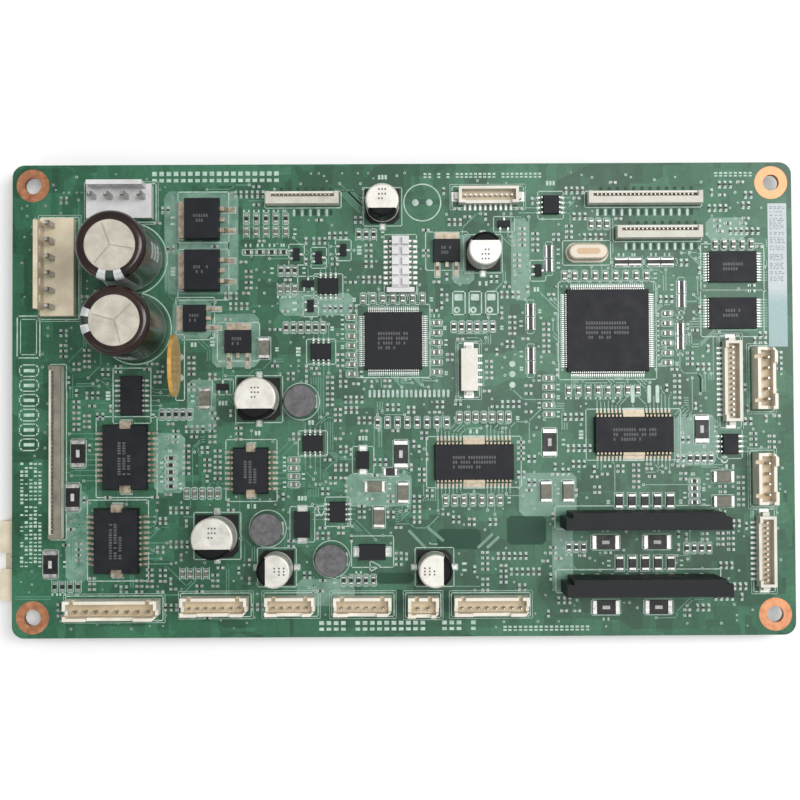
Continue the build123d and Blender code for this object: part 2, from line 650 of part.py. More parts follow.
def make_ribbon_socket(name, socket):
    x, y, turn, ways = socket
    base = seat(x, y, turn)
    length = ways + RIBBON_MARGIN - 1
    cavity = (length - 2 * RIBBON_END, RIBBON_DEPTH - 2 * RIBBON_WALL, RIBBON_HEIGHT)
    tines = pin_row(socket, RIBBON_PITCH, RIBBON_ROW)
    with BuildPart() as housing:
        block(base, (length, RIBBON_DEPTH, RIBBON_HEIGHT - RIBBON_STANDOFF), RIBBON_STANDOFF)
        block(base, cavity, RIBBON_FLOOR, mode=Mode.SUBTRACT)
        for end in (-1, 1):
            block(base, (0.6, 1.4, RIBBON_HEIGHT), RIBBON_HEIGHT * 0.6, at=(end * (length / 2 - 0.3), 0.4),
                  mode=Mode.SUBTRACT)
        bars(tines, RIBBON_TINE, BOARD_TOP + RIBBON_STANDOFF, BOARD_TOP + RIBBON_FLOOR, Mode.SUBTRACT)
    save(housing, f"{name}_housing")
    blade_y = RIBBON_DEPTH / 2 - RIBBON_WALL - SLIDER_CLEARANCE - SLIDER_BLADE / 2
    flange_width = RIBBON_DEPTH * 0.55
    with BuildPart() as slider:
        block(base, (cavity[0] - 2 * SLIDER_CLEARANCE, SLIDER_BLADE, RIBBON_HEIGHT - RIBBON_FLOOR - 0.4),
              RIBBON_FLOOR + 0.5, at=(0, blade_y))
        block(base, (length, flange_width, SLIDER_FLANGE), RIBBON_HEIGHT + 0.1,
              at=(0, RIBBON_DEPTH / 2 - flange_width / 2))
        for end in (-1, 1):
            block(base, (RIBBON_END - 0.2, RIBBON_DEPTH, SLIDER_FLANGE), RIBBON_HEIGHT + 0.1,
                  at=(end * (length / 2 - RIBBON_END / 2 + 0.1), 0))
    save(slider, f"{name}_slider")


def make_ribbon_contacts():
    with BuildPart() as contacts:
        for socket in RIBBON_SOCKETS.values():
            x, y, turn, ways = socket
            base = seat(x, y, turn)
            near, far = ribbon_tails(socket)
            tines = pin_row(socket, RIBBON_PITCH, RIBBON_ROW)
            bars(tines, RIBBON_TINE, BOARD_TOP, BOARD_TOP + RIBBON_HEIGHT - 0.5)
            bars(near + far, RIBBON_TINE, -PIN_TAIL, BOARD_TOP)
            first = -(ways - 1) / 2
            with BuildSketch(base) as links:
                with Locations(*[(first + way, 0) for way in range(1, ways, 2)]):
                    Rectangle(RIBBON_TINE, 2 * RIBBON_ROW + RIBBON_TINE)
            extrude(links.sketch, amount=RIBBON_STANDOFF - 0.05)
    save(contacts, "ribbon_socket_contacts")


# ---------------------------------------------------------------- debug header, underside receptacle
def make_debug_header():
    base = seat(*DEBUG_PLACE)
    width, length, height = DEBUG_SIZE
    cell = length / DEBUG_WAYS
    with BuildPart() as housing:
        block(base, (width, length, height - 1.4), 0.3)
        with BuildSketch(base.offset(height - 1.1)):
            with GridLocations(width * 0.58, cell, 2, DEBUG_WAYS):
                Rectangle(width * 0.38, cell * 0.72)
        extrude(amount=1.1)
        block(base, (width * 1.6, 1.2, 1.4), 0.3, at=(0, -length / 2 - 0.6))
    save(housing, "debug_header_housing")


def make_underside_receptacle():
    depth, length, height = UNDERSIDE_SIZE
    base = Plane(origin=(*UNDERSIDE_PLACE, -0.3), x_dir=(1, 0, 0), z_dir=(0, 0, -1))
    mouth = Plane(origin=(UNDERSIDE_PLACE[0] - depth / 2, UNDERSIDE_PLACE[1], -0.3 - height / 2),
                  x_dir=(0, 1, 0), z_dir=(1, 0, 0))
    back = UNDERSIDE_PLACE[0] + depth / 2
    first = UNDERSIDE_PLACE[1] - (UNDERSIDE_WAYS - 1) * 0.75
    rows = [first + 1.5 * way for way in range(UNDERSIDE_WAYS)]
    with BuildPart() as housing:
        block(base, UNDERSIDE_SIZE)
        block(mouth, (length - 2.0, height - 2.0, depth - 2.0), mode=Mode.SUBTRACT)
        with BuildSketch(mouth.offset(-0.1)):
            with Locations((0, height / 2)):
                Rectangle(4.0, 3.0)
        extrude(amount=3.0, mode=Mode.SUBTRACT)
        with BuildSketch(mouth) as pin_holes:
            with Locations(*[(row - UNDERSIDE_PLACE[1], 0) for row in rows]):
                Rectangle(FINE_PIN, FINE_PIN)
        extrude(pin_holes.sketch, amount=depth, mode=Mode.SUBTRACT)
    save(housing, "underside_receptacle_housing")
    with BuildPart() as contacts:
        with BuildSketch(mouth.offset(1.6)) as pins:
            with Locations(*[(row - UNDERSIDE_PLACE[1], 0) for row in rows]):
                Rectangle(FINE_PIN, FINE_PIN)
        extrude(pins.sketch, amount=depth - 1.6 + 0.3)
        riser = 0.3 + height / 2 + FINE_PIN / 2
        with BuildSketch(Plane.XY.offset(-riser)) as risers:
            with Locations(*[(back + 0.5, row) for row in rows]):
                Rectangle(FINE_PIN, FINE_PIN)
        extrude(risers.sketch, amount=riser)
        with BuildSketch(Plane.XY.offset(-FINE_FOOT)) as feet:
            with Locations(*[(back + 1.2, row) for row in rows]):
                Rectangle(1.8, FINE_PIN)
        extrude(feet.sketch, amount=FINE_FOOT)
    save(contacts, "underside_receptacle_contacts")


# ---------------------------------------------------------------- stand-up driver modules
def module_pins(place):
    """Pin positions of a stand-up module, alternating between two rows."""
    x, y = place
    first = x - MODULE_PIN_PITCH * (MODULE_PINS - 1) / 2
    return [(first + MODULE_PIN_PITCH * pin, y + (1.0 if pin % 2 else -1.0)) for pin in range(MODULE_PINS)]


def make_driver_modules():
    length, thickness, height = MODULE_SIZE
    with BuildPart() as bodies:
        for place in MODULE_PLACES:
            base = seat(*place)
            block(base, MODULE_SIZE, MODULE_BASE)
            for end in (-1, 1):
                block(base, (1.6, thickness * 0.3, height), MODULE_BASE,
                      at=(end * (length / 2 - 0.8), thickness * 0.36), mode=Mode.SUBTRACT)
    save(bodies, "driver_module_bodies")
    with BuildPart() as pins:
        for place in MODULE_PLACES:
            bars(module_pins(place), 0.5, -PIN_TAIL, BOARD_TOP + MODULE_BASE)
    save(pins, "driver_module_pins")


# ---------------------------------------------------------------- power transistors
def make_transistors():
    packages = [(place, LARGE_PACKAGE, 2.54, 1.0) for place in LARGE_TRANSISTORS]
    packages += [(place, SMALL_PACKAGE, 2.28, 0.8) for place in SMALL_TRANSISTORS]
    with BuildPart() as bodies:
        for place, (length, width, height), _, _ in packages:
            moulded_body(seat(*place), length, width, height, band=0.8, taper=8)
    save(bodies, "power_transistor_bodies")
    with BuildPart() as metal:
        for place, (length, width, height), pitch, lead_width in packages:
            base = seat(*place)
            tab_height = height * 0.3
            block(base, (1.6, width * 0.86, tab_height), at=(length / 2 + 0.8, 0))
            lead = gull_lead(3.4, height * 0.48, lead_width, 0.5)
            for way in (-1, 1):
                lead_row(base, 180, length / 2, pitch, 1, lead, way * pitch)
            block(base, (1.2, lead_width, 0.5), height * 0.48 - 0.5, at=(-length / 2 - 0.6, 0))
    save(metal, "power_transistor_tabs")


# ---------------------------------------------------------------- chips
def make_motor_drivers():
    with BuildPart() as bodies:
        for x, y, turn, length, width in MOTOR_DRIVERS:
            base = seat(x, y, turn)
            moulded_body(base, length, width, MOTOR_DRIVER_HEIGHT, band=0.5)
            for end in (-1, 1):
                block(base, (length * 0.28, 2 * SLUG_NOTCH, MOTOR_DRIVER_HEIGHT + 0.1),
                      at=(0, end * width / 2), mode=Mode.SUBTRACT)
    save(bodies, "motor_driver_bodies")
    with BuildPart() as bodies:
        for x, y, turn, length, width in STEPPER_DRIVERS:
            moulded_body(seat(x, y, turn), length, width, STEPPER_HEIGHT, band=0.5)
    save(bodies, "stepper_driver_bodies")


def make_driver_leads():
    with BuildPart() as metal:
        for (x, y, turn, length, width), count in zip(MOTOR_DRIVERS, MOTOR_DRIVER_LEADS):
            base = seat(x, y, turn)
            lead = gull_lead(*MOTOR_DRIVER_LEAD)
            for side in (0, 180):
                lead_row(base, side, length / 2, WIDE_LEAD_PITCH, count, lead)
            for end in (-1, 1):
                block(base, (length * 0.26, SLUG_NOTCH + 0.8, SLUG_HEIGHT),
                      at=(0, end * (width / 2 + (0.8 - SLUG_NOTCH) / 2 + 0.05)))
        for x, y, turn, length, width in STEPPER_DRIVERS:
            base = seat(x, y, turn)
            lead = gull_lead(*STEPPER_LEAD)
            for side in (0, 180):
                for half in (-1, 1):
                    lead_row(base, side, length / 2, STEPPER_LEAD_PITCH, 7, lead, half * 6.0)
                fin = base.rotated((0, 0, side))
                block(fin, (1.7, STEPPER_FIN, 0.5), at=(length / 2 + 0.85, 0))
                block(fin, (0.7, STEPPER_FIN, 1.2), at=(length / 2 + 0.35, 0))
    save(metal, "driver_chip_leads")


def make_square_chip(name, chip):
    x, y, side, per_side = chip
    base = seat(x, y)
    with BuildPart() as body:
        moulded_body(base, side, side, SQUARE_CHIP_HEIGHT)
    save(body, f"{name}_body")
    with BuildPart() as leads:
        lead = gull_lead(*SQUARE_CHIP_LEAD)
        for turn in (0, 90, 180, 270):
            lead_row(base, turn, side / 2, FINE_LEAD_PITCH, per_side, lead)
    save(leads, f"{name}_leads")


def make_small_chips():
    with BuildPart() as bodies:
        for x, y, turn, length, width in MEMORY_CHIPS:
            moulded_body(seat(x, y, turn), length, width, MEMORY_HEIGHT)
    save(bodies, "memory_chip_bodies")
    with BuildPart() as bodies:
        for x, y, turn, length, width, _ in SMALL_CHIPS:
            moulded_body(seat(x, y, turn), length, width, SMALL_CHIP_HEIGHT)
        for place in TINY_TRANSISTORS:
            block(seat(*place), TINY_TRANSISTOR, 0.1)
    save(bodies, "small_chip_bodies")
    with BuildPart() as leads:
        for x, y, turn, length, width in MEMORY_CHIPS:
            lead = gull_lead(*MEMORY_LEAD)
            for side in (0, 180):
                lead_row(seat(x, y, turn), side, length / 2, MEMORY_LEAD_PITCH, MEMORY_LEADS, lead)
        for x, y, turn, length, width, count in SMALL_CHIPS:
            lead = gull_lead(*SMALL_CHIP_LEAD)
            for side in (0, 180):
                lead_row(seat(x, y, turn), side, length / 2, SMALL_CHIP_LEAD_PITCH, count, lead)
        for place in TINY_TRANSISTORS:
            for end, offset in ((-1, 0.95), (-1, -0.95), (1, 0)):
                block(seat(*place), (0.6, 0.4, 0.5), at=(end * 1.1, offset))
    save(leads, "small_chip_leads")


# ---------------------------------------------------------------- inductors, diodes, fuse, crystal
def make_inductors():
    with BuildPart() as cores:
        for place in INDUCTORS:
            base = seat(*place)
            for z, radius, height in ((0.2, 3.6, 1.0), (1.2, 3.1, 2.0), (3.2, INDUCTOR_RADIUS, 1.3)):
                with BuildSketch(base.offset(z)) as layer:
                    Circle(radius)
                extrude(layer.sketch, amount=height)
        fillet(cores.edges().group_by(Axis.Z)[-1], 0.3)
    save(cores, "power_inductor_cores")


def make_diodes():
    with BuildPart() as bodies:
        for x, y, turn, length, width in DIODES:
            moulded_body(seat(x, y, turn), length, width, DIODE_HEIGHT, band=0.5, taper=6)
    save(bodies, "diode_bodies")


def make_surface_terminals():
    with BuildPart() as metal:
        for base, diameter, _ in can_capacitors():
            for end in (-1, 1):
                block(base, (2.4, 0.9, 0.15), at=(end * (diameter / 2 + 0.2), 0))
        for place in INDUCTORS:
            for end in (-1, 1):
                block(seat(*place), (2.0, 2.6, 0.2), at=(end * 2.6, 0))
        for x, y, turn, length, width in DIODES:
            for side in (0, 180):
                base = seat(x, y, turn + side)
                block(base, (0.25, width * 0.5, 1.2), at=(length / 2 + 0.125, 0))
                block(base, (0.9, width * 0.5, 0.25), at=(length / 2 + 0.7, 0))
    save(metal, "surface_part_terminals")


def chip_part_places(kind, shift=0.0):
    """Every place of one kind of chip part, moved along the part's own length."""
    places = []
    for row_kind, x, y, turn, count, step_x, step_y in CHIP_ROWS:
        if row_kind == kind:
            for number in range(count):
                place = seat(x + number * step_x, y + number * step_y, turn)
                centre = place.from_local_coords((shift, 0, 0))
                places.append(Location((centre.X, centre.Y, 0), (0, 0, turn)))
    return places


def flat_blocks(places, length, width, low, high):
    """Equal flat blocks at many places, from one height above the board to another."""
    with BuildSketch(Plane.XY.offset(BOARD_TOP + low)) as outline:
        with Locations(*places):
            Rectangle(length, width)
    extrude(outline.sketch, amount=high - low)


def make_chip_parts():
    for name, kinds in CHIP_NODES.items():
        with BuildPart() as bodies:
            for kind in kinds:
                length, width, height, end = CHIP_SIZES[kind]
                flat_blocks(chip_part_places(kind), length - 2 * end, width, 0.06, height)
        save(bodies, name)
    with BuildPart() as ends:
        for kind, (length, width, height, end) in CHIP_SIZES.items():
            reach = (length - end) / 2
            places = chip_part_places(kind, reach) + chip_part_places(kind, -reach)
            flat_blocks(places, end, width, 0.0, height)
    save(ends, "chip_part_terminals")


def fuse_lead_places():
    """The two lead holes of the upright fuse."""
    return pin_row((*FUSE_PLACE, 90, 2), 5.0)


def make_fuse():
    x, y = FUSE_PLACE
    disc = Plane(origin=(x, y, BOARD_TOP + 1.2 + FUSE_RADIUS), x_dir=(0, 1, 0), z_dir=(1, 0, 0))
    with BuildPart() as fuse:
        with BuildSketch(disc):
            Circle(FUSE_RADIUS)
        extrude(amount=FUSE_EDGE / 2, both=True)
        for face in (-1, 1):
            with BuildSketch(disc.offset(face * FUSE_EDGE / 2)) as side:
                Circle(FUSE_RADIUS)
            with BuildSketch(disc.offset(face * FUSE_THICKNESS / 2)) as crown:
                Circle(FUSE_RADIUS * 0.45)
            loft([side.face(), crown.face()])
        bars(fuse_lead_places(), FUSE_LEAD, BOARD_TOP, BOARD_TOP + FUSE_RADIUS, Mode.SUBTRACT)
    save(fuse, "resettable_fuse_disc")


def make_crystal():
    base = seat(*CRYSTAL_PLACE)
    with BuildPart() as crystal:
        with BuildSketch(base):
            SlotOverall(CRYSTAL_LENGTH + 0.9, CRYSTAL_WIDTH + 0.9)
        extrude(amount=0.5)
        with BuildSketch(base.offset(0.5)):
            SlotOverall(CRYSTAL_LENGTH, CRYSTAL_WIDTH)
        extrude(amount=3.1)
        fillet(crystal.edges().group_by(Axis.Z)[-1], 0.5)
    save(crystal, "crystal_can")


def main():
    os.makedirs("parts", exist_ok=True)
    make_board()
    make_mounting_rings()
    make_label()
    for number, place in BULK_PLACES.items():
        make_bulk_capacitor(number, place)
    make_bulk_seals()
    make_wire_leads()
    make_can_capacitors()
    for name, header in POWER_HEADERS.items():
        make_power_header(name, header)
    make_power_pins()
    for name, header in DRIVER_HEADERS.items():
        make_shrouded_header(name, header, DRIVER_PITCH, DRIVER_DEPTH, DRIVER_HEIGHT, DRIVER_PIN, DRIVER_END)
    for name, header in SIGNAL_HEADERS.items():
        make_shrouded_header(name, header, SIGNAL_PITCH, SIGNAL_DEPTH, SIGNAL_HEIGHT, SIGNAL_PIN, SIGNAL_END)
    make_header_pins("driver_header_pins", DRIVER_HEADERS, DRIVER_PITCH, DRIVER_PIN, DRIVER_HEIGHT)
    make_header_pins("signal_header_pins", SIGNAL_HEADERS, SIGNAL_PITCH, SIGNAL_PIN, SIGNAL_HEIGHT)
    make_fine_headers()
    for name, socket in RIBBON_SOCKETS.items():
        make_ribbon_socket(name, socket)
    make_ribbon_contacts()
    make_debug_header()
    make_underside_receptacle()
    make_driver_modules()
    make_transistors()
    make_motor_drivers()
    make_driver_leads()
    make_square_chip("main_processor", MAIN_PROCESSOR)
    make_square_chip("motion_controller", MOTION_CONTROLLER)
    make_small_chips()
    make_inductors()
    make_diodes()
    make_fuse()
    make_surface_terminals()
    make_chip_parts()
    make_crystal()


main()
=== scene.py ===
"""Looks of the servo driver board: materials, board printing, pads, vias, solder and markings
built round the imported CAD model. Positions are in millimetres until a mesh is made.
"""

import math
import random

import bpy
import numpy as np
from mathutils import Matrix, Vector


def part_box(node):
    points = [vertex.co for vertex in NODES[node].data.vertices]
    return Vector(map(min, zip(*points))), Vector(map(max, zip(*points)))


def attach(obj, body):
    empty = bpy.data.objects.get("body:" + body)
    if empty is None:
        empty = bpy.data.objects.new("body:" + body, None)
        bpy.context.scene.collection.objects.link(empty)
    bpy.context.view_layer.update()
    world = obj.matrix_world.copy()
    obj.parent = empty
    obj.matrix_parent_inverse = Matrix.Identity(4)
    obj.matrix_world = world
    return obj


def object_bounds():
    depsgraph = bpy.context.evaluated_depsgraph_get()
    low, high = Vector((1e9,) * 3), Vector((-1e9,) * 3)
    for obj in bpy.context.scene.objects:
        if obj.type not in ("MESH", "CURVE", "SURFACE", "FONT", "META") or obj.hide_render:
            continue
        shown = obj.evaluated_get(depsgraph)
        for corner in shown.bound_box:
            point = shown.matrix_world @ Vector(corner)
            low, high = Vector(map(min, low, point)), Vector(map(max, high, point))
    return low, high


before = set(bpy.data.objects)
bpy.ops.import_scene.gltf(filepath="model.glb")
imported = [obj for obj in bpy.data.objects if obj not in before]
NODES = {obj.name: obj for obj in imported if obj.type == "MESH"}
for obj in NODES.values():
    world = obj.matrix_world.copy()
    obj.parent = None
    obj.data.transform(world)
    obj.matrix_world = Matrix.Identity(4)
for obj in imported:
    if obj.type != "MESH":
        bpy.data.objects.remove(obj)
bpy.context.view_layer.update()
CAD_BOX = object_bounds()
MM = 0.001
random.seed(41)

# ---------------------------------------------------------------- measured boxes


def islands(node):
    """Boxes, in millimetres, of the separate solids in one CAD node, sorted by x then y."""
    mesh = NODES[node].data
    co = np.empty(len(mesh.vertices) * 3)
    mesh.vertices.foreach_get("co", co)
    co = co.reshape(-1, 3)
    _, ids = np.unique(np.round(co * 1e6).astype(int), axis=0, return_inverse=True)
    ids = ids.reshape(-1)
    ends = np.empty(len(mesh.edges) * 2, int)
    mesh.edges.foreach_get("vertices", ends)
    ends = ids[ends.reshape(-1, 2)]
    label = np.arange(ids.max() + 1)
    while True:
        low = np.minimum(label[ends[:, 0]], label[ends[:, 1]])
        merged = label.copy()
        np.minimum.at(merged, ends[:, 0], low)
        np.minimum.at(merged, ends[:, 1], low)
        merged = merged[merged]
        if (merged == label).all():
            break
        label = merged
    owner = label[ids]
    boxes = []
    for one in np.unique(owner):
        part = co[owner == one] / MM
        boxes.append((*part.min(0), *part.max(0)))
    return sorted(boxes)


def centre(box):
    return (box[0] + box[3]) / 2, (box[1] + box[4]) / 2


def size(box):
    return box[3] - box[0], box[4] - box[1]


def grown(box, by):
    return box[0] - by, box[1] - by, box[3] + by, box[4] + by


def nearest(boxes, x, y):
    """The box whose centre is closest to a point."""
    return min(boxes, key=lambda b: (centre(b)[0] - x) ** 2 + (centre(b)[1] - y) ** 2)


BOXES = {name: islands(name) for name in NODES}
BOARD = BOXES["circuit_board"][0]
HALF_X, HALF_Y = BOARD[3], BOARD[4]
TOP = BOARD[5]

# Tops of the thin layers on the board, lowest first, each clear of the next
BARE_TOP = TOP + 0.003
POUR_TOP = TOP + 0.006
GAP_TOP = TOP + 0.009
TRACE_TOP = TOP + 0.012
SILK_TOP = TOP + 0.03
PAD_TOP = TOP + 0.035

# Print on a part starts this far inside its face and ends this far outside it
PRINT_IN = 0.01
PRINT_OUT = 0.012

# ---------------------------------------------------------------- what is taken on the board

CELL = 0.25
EDGE_STRIP = 0.8
PLACING_PITCH = 0.635
GRID = np.zeros((int(2 * HALF_X / CELL) + 1, int(2 * HALF_Y / CELL) + 1), bool)
TRACKS = np.zeros_like(GRID)


def span(x0, y0, x1, y1):
    """The grid cells a rectangle touches."""
    i0 = max(0, int((x0 + HALF_X) / CELL))
    j0 = max(0, int((y0 + HALF_Y) / CELL))
    return slice(i0, int((x1 + HALF_X) / CELL) + 1), slice(j0, int((y1 + HALF_Y) / CELL) + 1)


def mark(grid, x0, y0, x1, y1, margin=0.0):
    grid[span(x0 - margin, y0 - margin, x1 + margin, y1 + margin)] = True


def is_free(grid, x0, y0, x1, y1, margin=0.0):
    """Whether a rectangle lies inside the board's edge strip and on nothing taken."""
    if x0 < EDGE_STRIP - HALF_X or x1 > HALF_X - EDGE_STRIP:
        return False
    if y0 < EDGE_STRIP - HALF_Y or y1 > HALF_Y - EDGE_STRIP:
        return False
    return not grid[span(x0 - margin, y0 - margin, x1 + margin, y1 + margin)].any()


def room(x, y, half_x, half_y, margin=0.0):
    """Whether a rectangle round a centre is free for parts, pads and print."""
    return is_free(GRID, x - half_x, y - half_y, x + half_x, y + half_y, margin)


def take(x, y, half_x, half_y):
    mark(GRID, x - half_x, y - half_y, x + half_x, y + half_y)


def on_pitch(value):
    return round(value / PLACING_PITCH) * PLACING_PITCH


for name, boxes in BOXES.items():
    if name != "circuit_board" and not name.startswith("underside_receptacle"):
        for box in boxes:
            mark(GRID, box[0], box[1], box[3], box[4])

# ---------------------------------------------------------------- mesh patches


def patch():
    return {"verts": [], "faces": []}


def prism(store, outline, low, high):
    """A closed upright prism; the outline runs counter-clockwise."""
    first, count = len(store["verts"]), len(outline)
    store["verts"] += [(x, y, low) for x, y in outline] + [(x, y, high) for x, y in outline]
    store["faces"].append([first + k for k in reversed(range(count))])
    store["faces"].append([first + count + k for k in range(count)])
    for k in range(count):
        n = (k + 1) % count
        store["faces"].append([first + k, first + n, first + count + n, first + count + k])


def slab(store, x0, y0, x1, y1, low, high):
    prism(store, [(x0, y0), (x1, y0), (x1, y1), (x0, y1)], low, high)


def bar(store, x, y, half_x, half_y, low, high):
    """A slab round a centre."""
    slab(store, x - half_x, y - half_y, x + half_x, y + half_y, low, high)


def rounded(store, x0, y0, x1, y1, corner, low, high):
    """A slab with chamfered corners."""
    c = min(corner, (x1 - x0) / 2.2, (y1 - y0) / 2.2)
    outline = [
        (x0 + c, y0), (x1 - c, y0), (x1, y0 + c), (x1, y1 - c),
        (x1 - c, y1), (x0 + c, y1), (x0, y1 - c), (x0, y0 + c),
    ]
    prism(store, outline, low, high)


def circle(x, y, radius, sides):
    turn = 2 * math.pi / sides
    return [
        (x + radius * math.cos(turn * k), y + radius * math.sin(turn * k)) for k in range(sides)
    ]


def disc(store, x, y, radius, low, high, sides):
    prism(store, circle(x, y, radius, sides), low, high)


def ring(store, x, y, inner, outer, low, high, sides=16):
    """A flat washer."""
    first = len(store["verts"])
    for radius, height in ((inner, low), (outer, low), (outer, high), (inner, high)):
        store["verts"] += [(px, py, height) for px, py in circle(x, y, radius, sides)]
    for edge in range(4):
        for k in range(sides):
            n = (k + 1) % sides
            a, b = first + edge * sides, first + (edge + 1) % 4 * sides
            store["faces"].append([a + k, b + k, b + n, a + n][::-1])


def cone(store, x, y, low, high, low_radius, high_radius):
    """A closed frustum."""
    sides = 12
    first = len(store["verts"])
    store["verts"] += [(px, py, low) for px, py in circle(x, y, low_radius, sides)]
    store["verts"] += [(px, py, high) for px, py in circle(x, y, high_radius, sides)]
    store["faces"].append([first + k for k in reversed(range(sides))])
    store["faces"].append([first + sides + k for k in range(sides)])
    for k in range(sides):
        n = (k + 1) % sides
        store["faces"].append([first + k, first + n, first + sides + n, first + sides + k])


def stroke(store, p, q, width, low, high):
    """A straight bar from p to q, half a width longer at each end."""
    dx, dy = q[0] - p[0], q[1] - p[1]
    length = math.hypot(dx, dy)
    if length < 1e-6:
        return
    ux, uy = dx / length * width / 2, dy / length * width / 2
    prism(store, [
        (p[0] - ux + uy, p[1] - uy - ux), (q[0] + ux + uy, q[1] + uy - ux),
        (q[0] + ux - uy, q[1] + uy + ux), (p[0] - ux - uy, p[1] - uy + ux),
    ], low, high)


def wedge(store, x, y, direction, run, width, low, high):
    """A solder fillet that falls from height high at (x, y) to low after run."""
    dx, dy = direction
    px, py = -dy * width / 2, dx * width / 2
    foot = (x + dx * run, y + dy * run)
    first = len(store["verts"])
    store["verts"] += [
        (x - px, y - py, low), (foot[0] - px, foot[1] - py, low),
        (foot[0] + px, foot[1] + py, low), (x + px, y + py, low),
        (x - px * 0.8, y - py * 0.8, high), (x + px * 0.8, y + py * 0.8, high),
    ]
    for face in ((3, 2, 1, 0), (0, 1, 4), (2, 3, 5), (1, 2, 5, 4), (3, 0, 4, 5)):
        store["faces"].append([first + k for k in face])


def piece(store, name, material, body="board"):
    """Makes one object from a patch and lets it ride on a CAD body."""
    mesh = bpy.data.meshes.new(name)
    mesh.from_pydata([(x * MM, y * MM, z * MM) for x, y, z in store["verts"]], [], store["faces"])
    mesh.validate()
    mesh.update()
    mesh.materials.append(material)
    made = bpy.data.objects.new(name, mesh)
    bpy.context.scene.collection.objects.link(made)
    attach(made, body)


# ---------------------------------------------------------------- materials


def nodes_of(name):
    material = bpy.data.materials.new(name)
    material.use_nodes = True
    tree = material.node_tree
    shader = tree.nodes["Principled BSDF"]
    place = tree.nodes.new("ShaderNodeTexCoord")
    return material, tree, shader, place.outputs["Object"]


def noise(tree, vector, scale, detail, roughness, stretch=None):
    if stretch:
        mapping = tree.nodes.new("ShaderNodeMapping")
        mapping.inputs["Scale"].default_value = stretch
        tree.links.new(vector, mapping.inputs["Vector"])
        vector = mapping.outputs["Vector"]
    node = tree.nodes.new("ShaderNodeTexNoise")
    node.inputs["Scale"].default_value = scale
    node.inputs["Detail"].default_value = detail
    node.inputs["Roughness"].default_value = roughness
    tree.links.new(vector, node.inputs["Vector"])
    return node.outputs["Fac"]


def ramp(tree, value, stops):
    node = tree.nodes.new("ShaderNodeValToRGB")
    points = node.color_ramp.elements
    while len(points) < len(stops):
        points.new(0.5)
    for point, (position, colour) in zip(points, stops):
        point.position = position
        point.color = (*colour, 1.0)
    tree.links.new(value, node.inputs["Fac"])
    return node.outputs["Color"]


def mix(tree, factor, first, second, kind="MIX"):
    """Mixes two colours; each is a socket or a plain colour."""
    node = tree.nodes.new("ShaderNodeMix")
    node.data_type = "RGBA"
    node.blend_type = kind
    for name, value in (("Factor", factor), ("A", first), ("B", second)):
        plain = name == "Factor"
        socket = [s for s in node.inputs if s.name == name and (s.type == "RGBA") != plain][0]
        if isinstance(value, bpy.types.NodeSocket):
            tree.links.new(value, socket)
        else:
            socket.default_value = value if plain else (*value, 1.0)
    return [s for s in node.outputs if s.type == "RGBA"][0]


def spread(tree, value, low, high, from_low=0.3, from_high=0.7):
    """Maps a value from one range to another."""
    node = tree.nodes.new("ShaderNodeMapRange")
    node.inputs["From Min"].default_value = from_low
    node.inputs["From Max"].default_value = from_high
    node.inputs["To Min"].default_value = low
    node.inputs["To Max"].default_value = high
    tree.links.new(value, node.inputs["Value"])
    return node.outputs["Result"]


def bump(tree, shader, height, strength, distance):
    node = tree.nodes.new("ShaderNodeBump")
    node.inputs["Strength"].default_value = strength
    node.inputs["Distance"].default_value = distance
    tree.links.new(height, node.inputs["Height"])
    tree.links.new(node.outputs["Normal"], shader.inputs["Normal"])


ROUGH_RANGE = 0.16
LOWEST_ROUGH = 0.03


def finish(name, dark, light, rough, patchy, grain, metallic=0.0, coat=0.0, ior=1.5,
           strength=0.25, depth=0.00003, stretch=None):
    """A surface whose colour wanders between two tones, with fine grain in bump and roughness.
    patchy and grain are the sizes, in millimetres, of the colour patches and of the grain."""
    material, tree, shader, place = nodes_of(name)
    slow = noise(tree, place, 1 / (patchy * MM), 3.0, 0.55, stretch)
    fine = noise(tree, place, 1 / (grain * MM), 2.0, 0.7, stretch)
    tone = ramp(tree, slow, [(0.32, dark), (0.68, light)])
    shade = ramp(tree, fine, [(0.25, (0.86, 0.86, 0.86)), (0.75, (1.0, 1.0, 1.0))])
    tree.links.new(mix(tree, 1.0, tone, shade, "MULTIPLY"), shader.inputs["Base Color"])
    low = max(LOWEST_ROUGH, rough - ROUGH_RANGE / 2)
    tree.links.new(spread(tree, slow, low, low + ROUGH_RANGE), shader.inputs["Roughness"])
    bump(tree, shader, fine, strength, depth)
    shader.inputs["Metallic"].default_value = metallic
    shader.inputs["Coat Weight"].default_value = coat
    shader.inputs["Coat Roughness"].default_value = 0.12
    shader.inputs["IOR"].default_value = ior
    return material


def cells(tree, place, scale, stretch):
    """Random grey values in straight-edged cells."""
    mapping = tree.nodes.new("ShaderNodeMapping")
    mapping.inputs["Scale"].default_value = stretch
    tree.links.new(place, mapping.inputs["Vector"])
    node = tree.nodes.new("ShaderNodeTexVoronoi")
    node.distance = "CHEBYCHEV"
    node.inputs["Scale"].default_value = scale
    node.inputs["Randomness"].default_value = 0.8
    tree.links.new(mapping.outputs["Vector"], node.inputs["Vector"])
    split = tree.nodes.new("ShaderNodeSeparateColor")
    tree.links.new(node.outputs["Color"], split.inputs[0])
    return split.outputs[0]


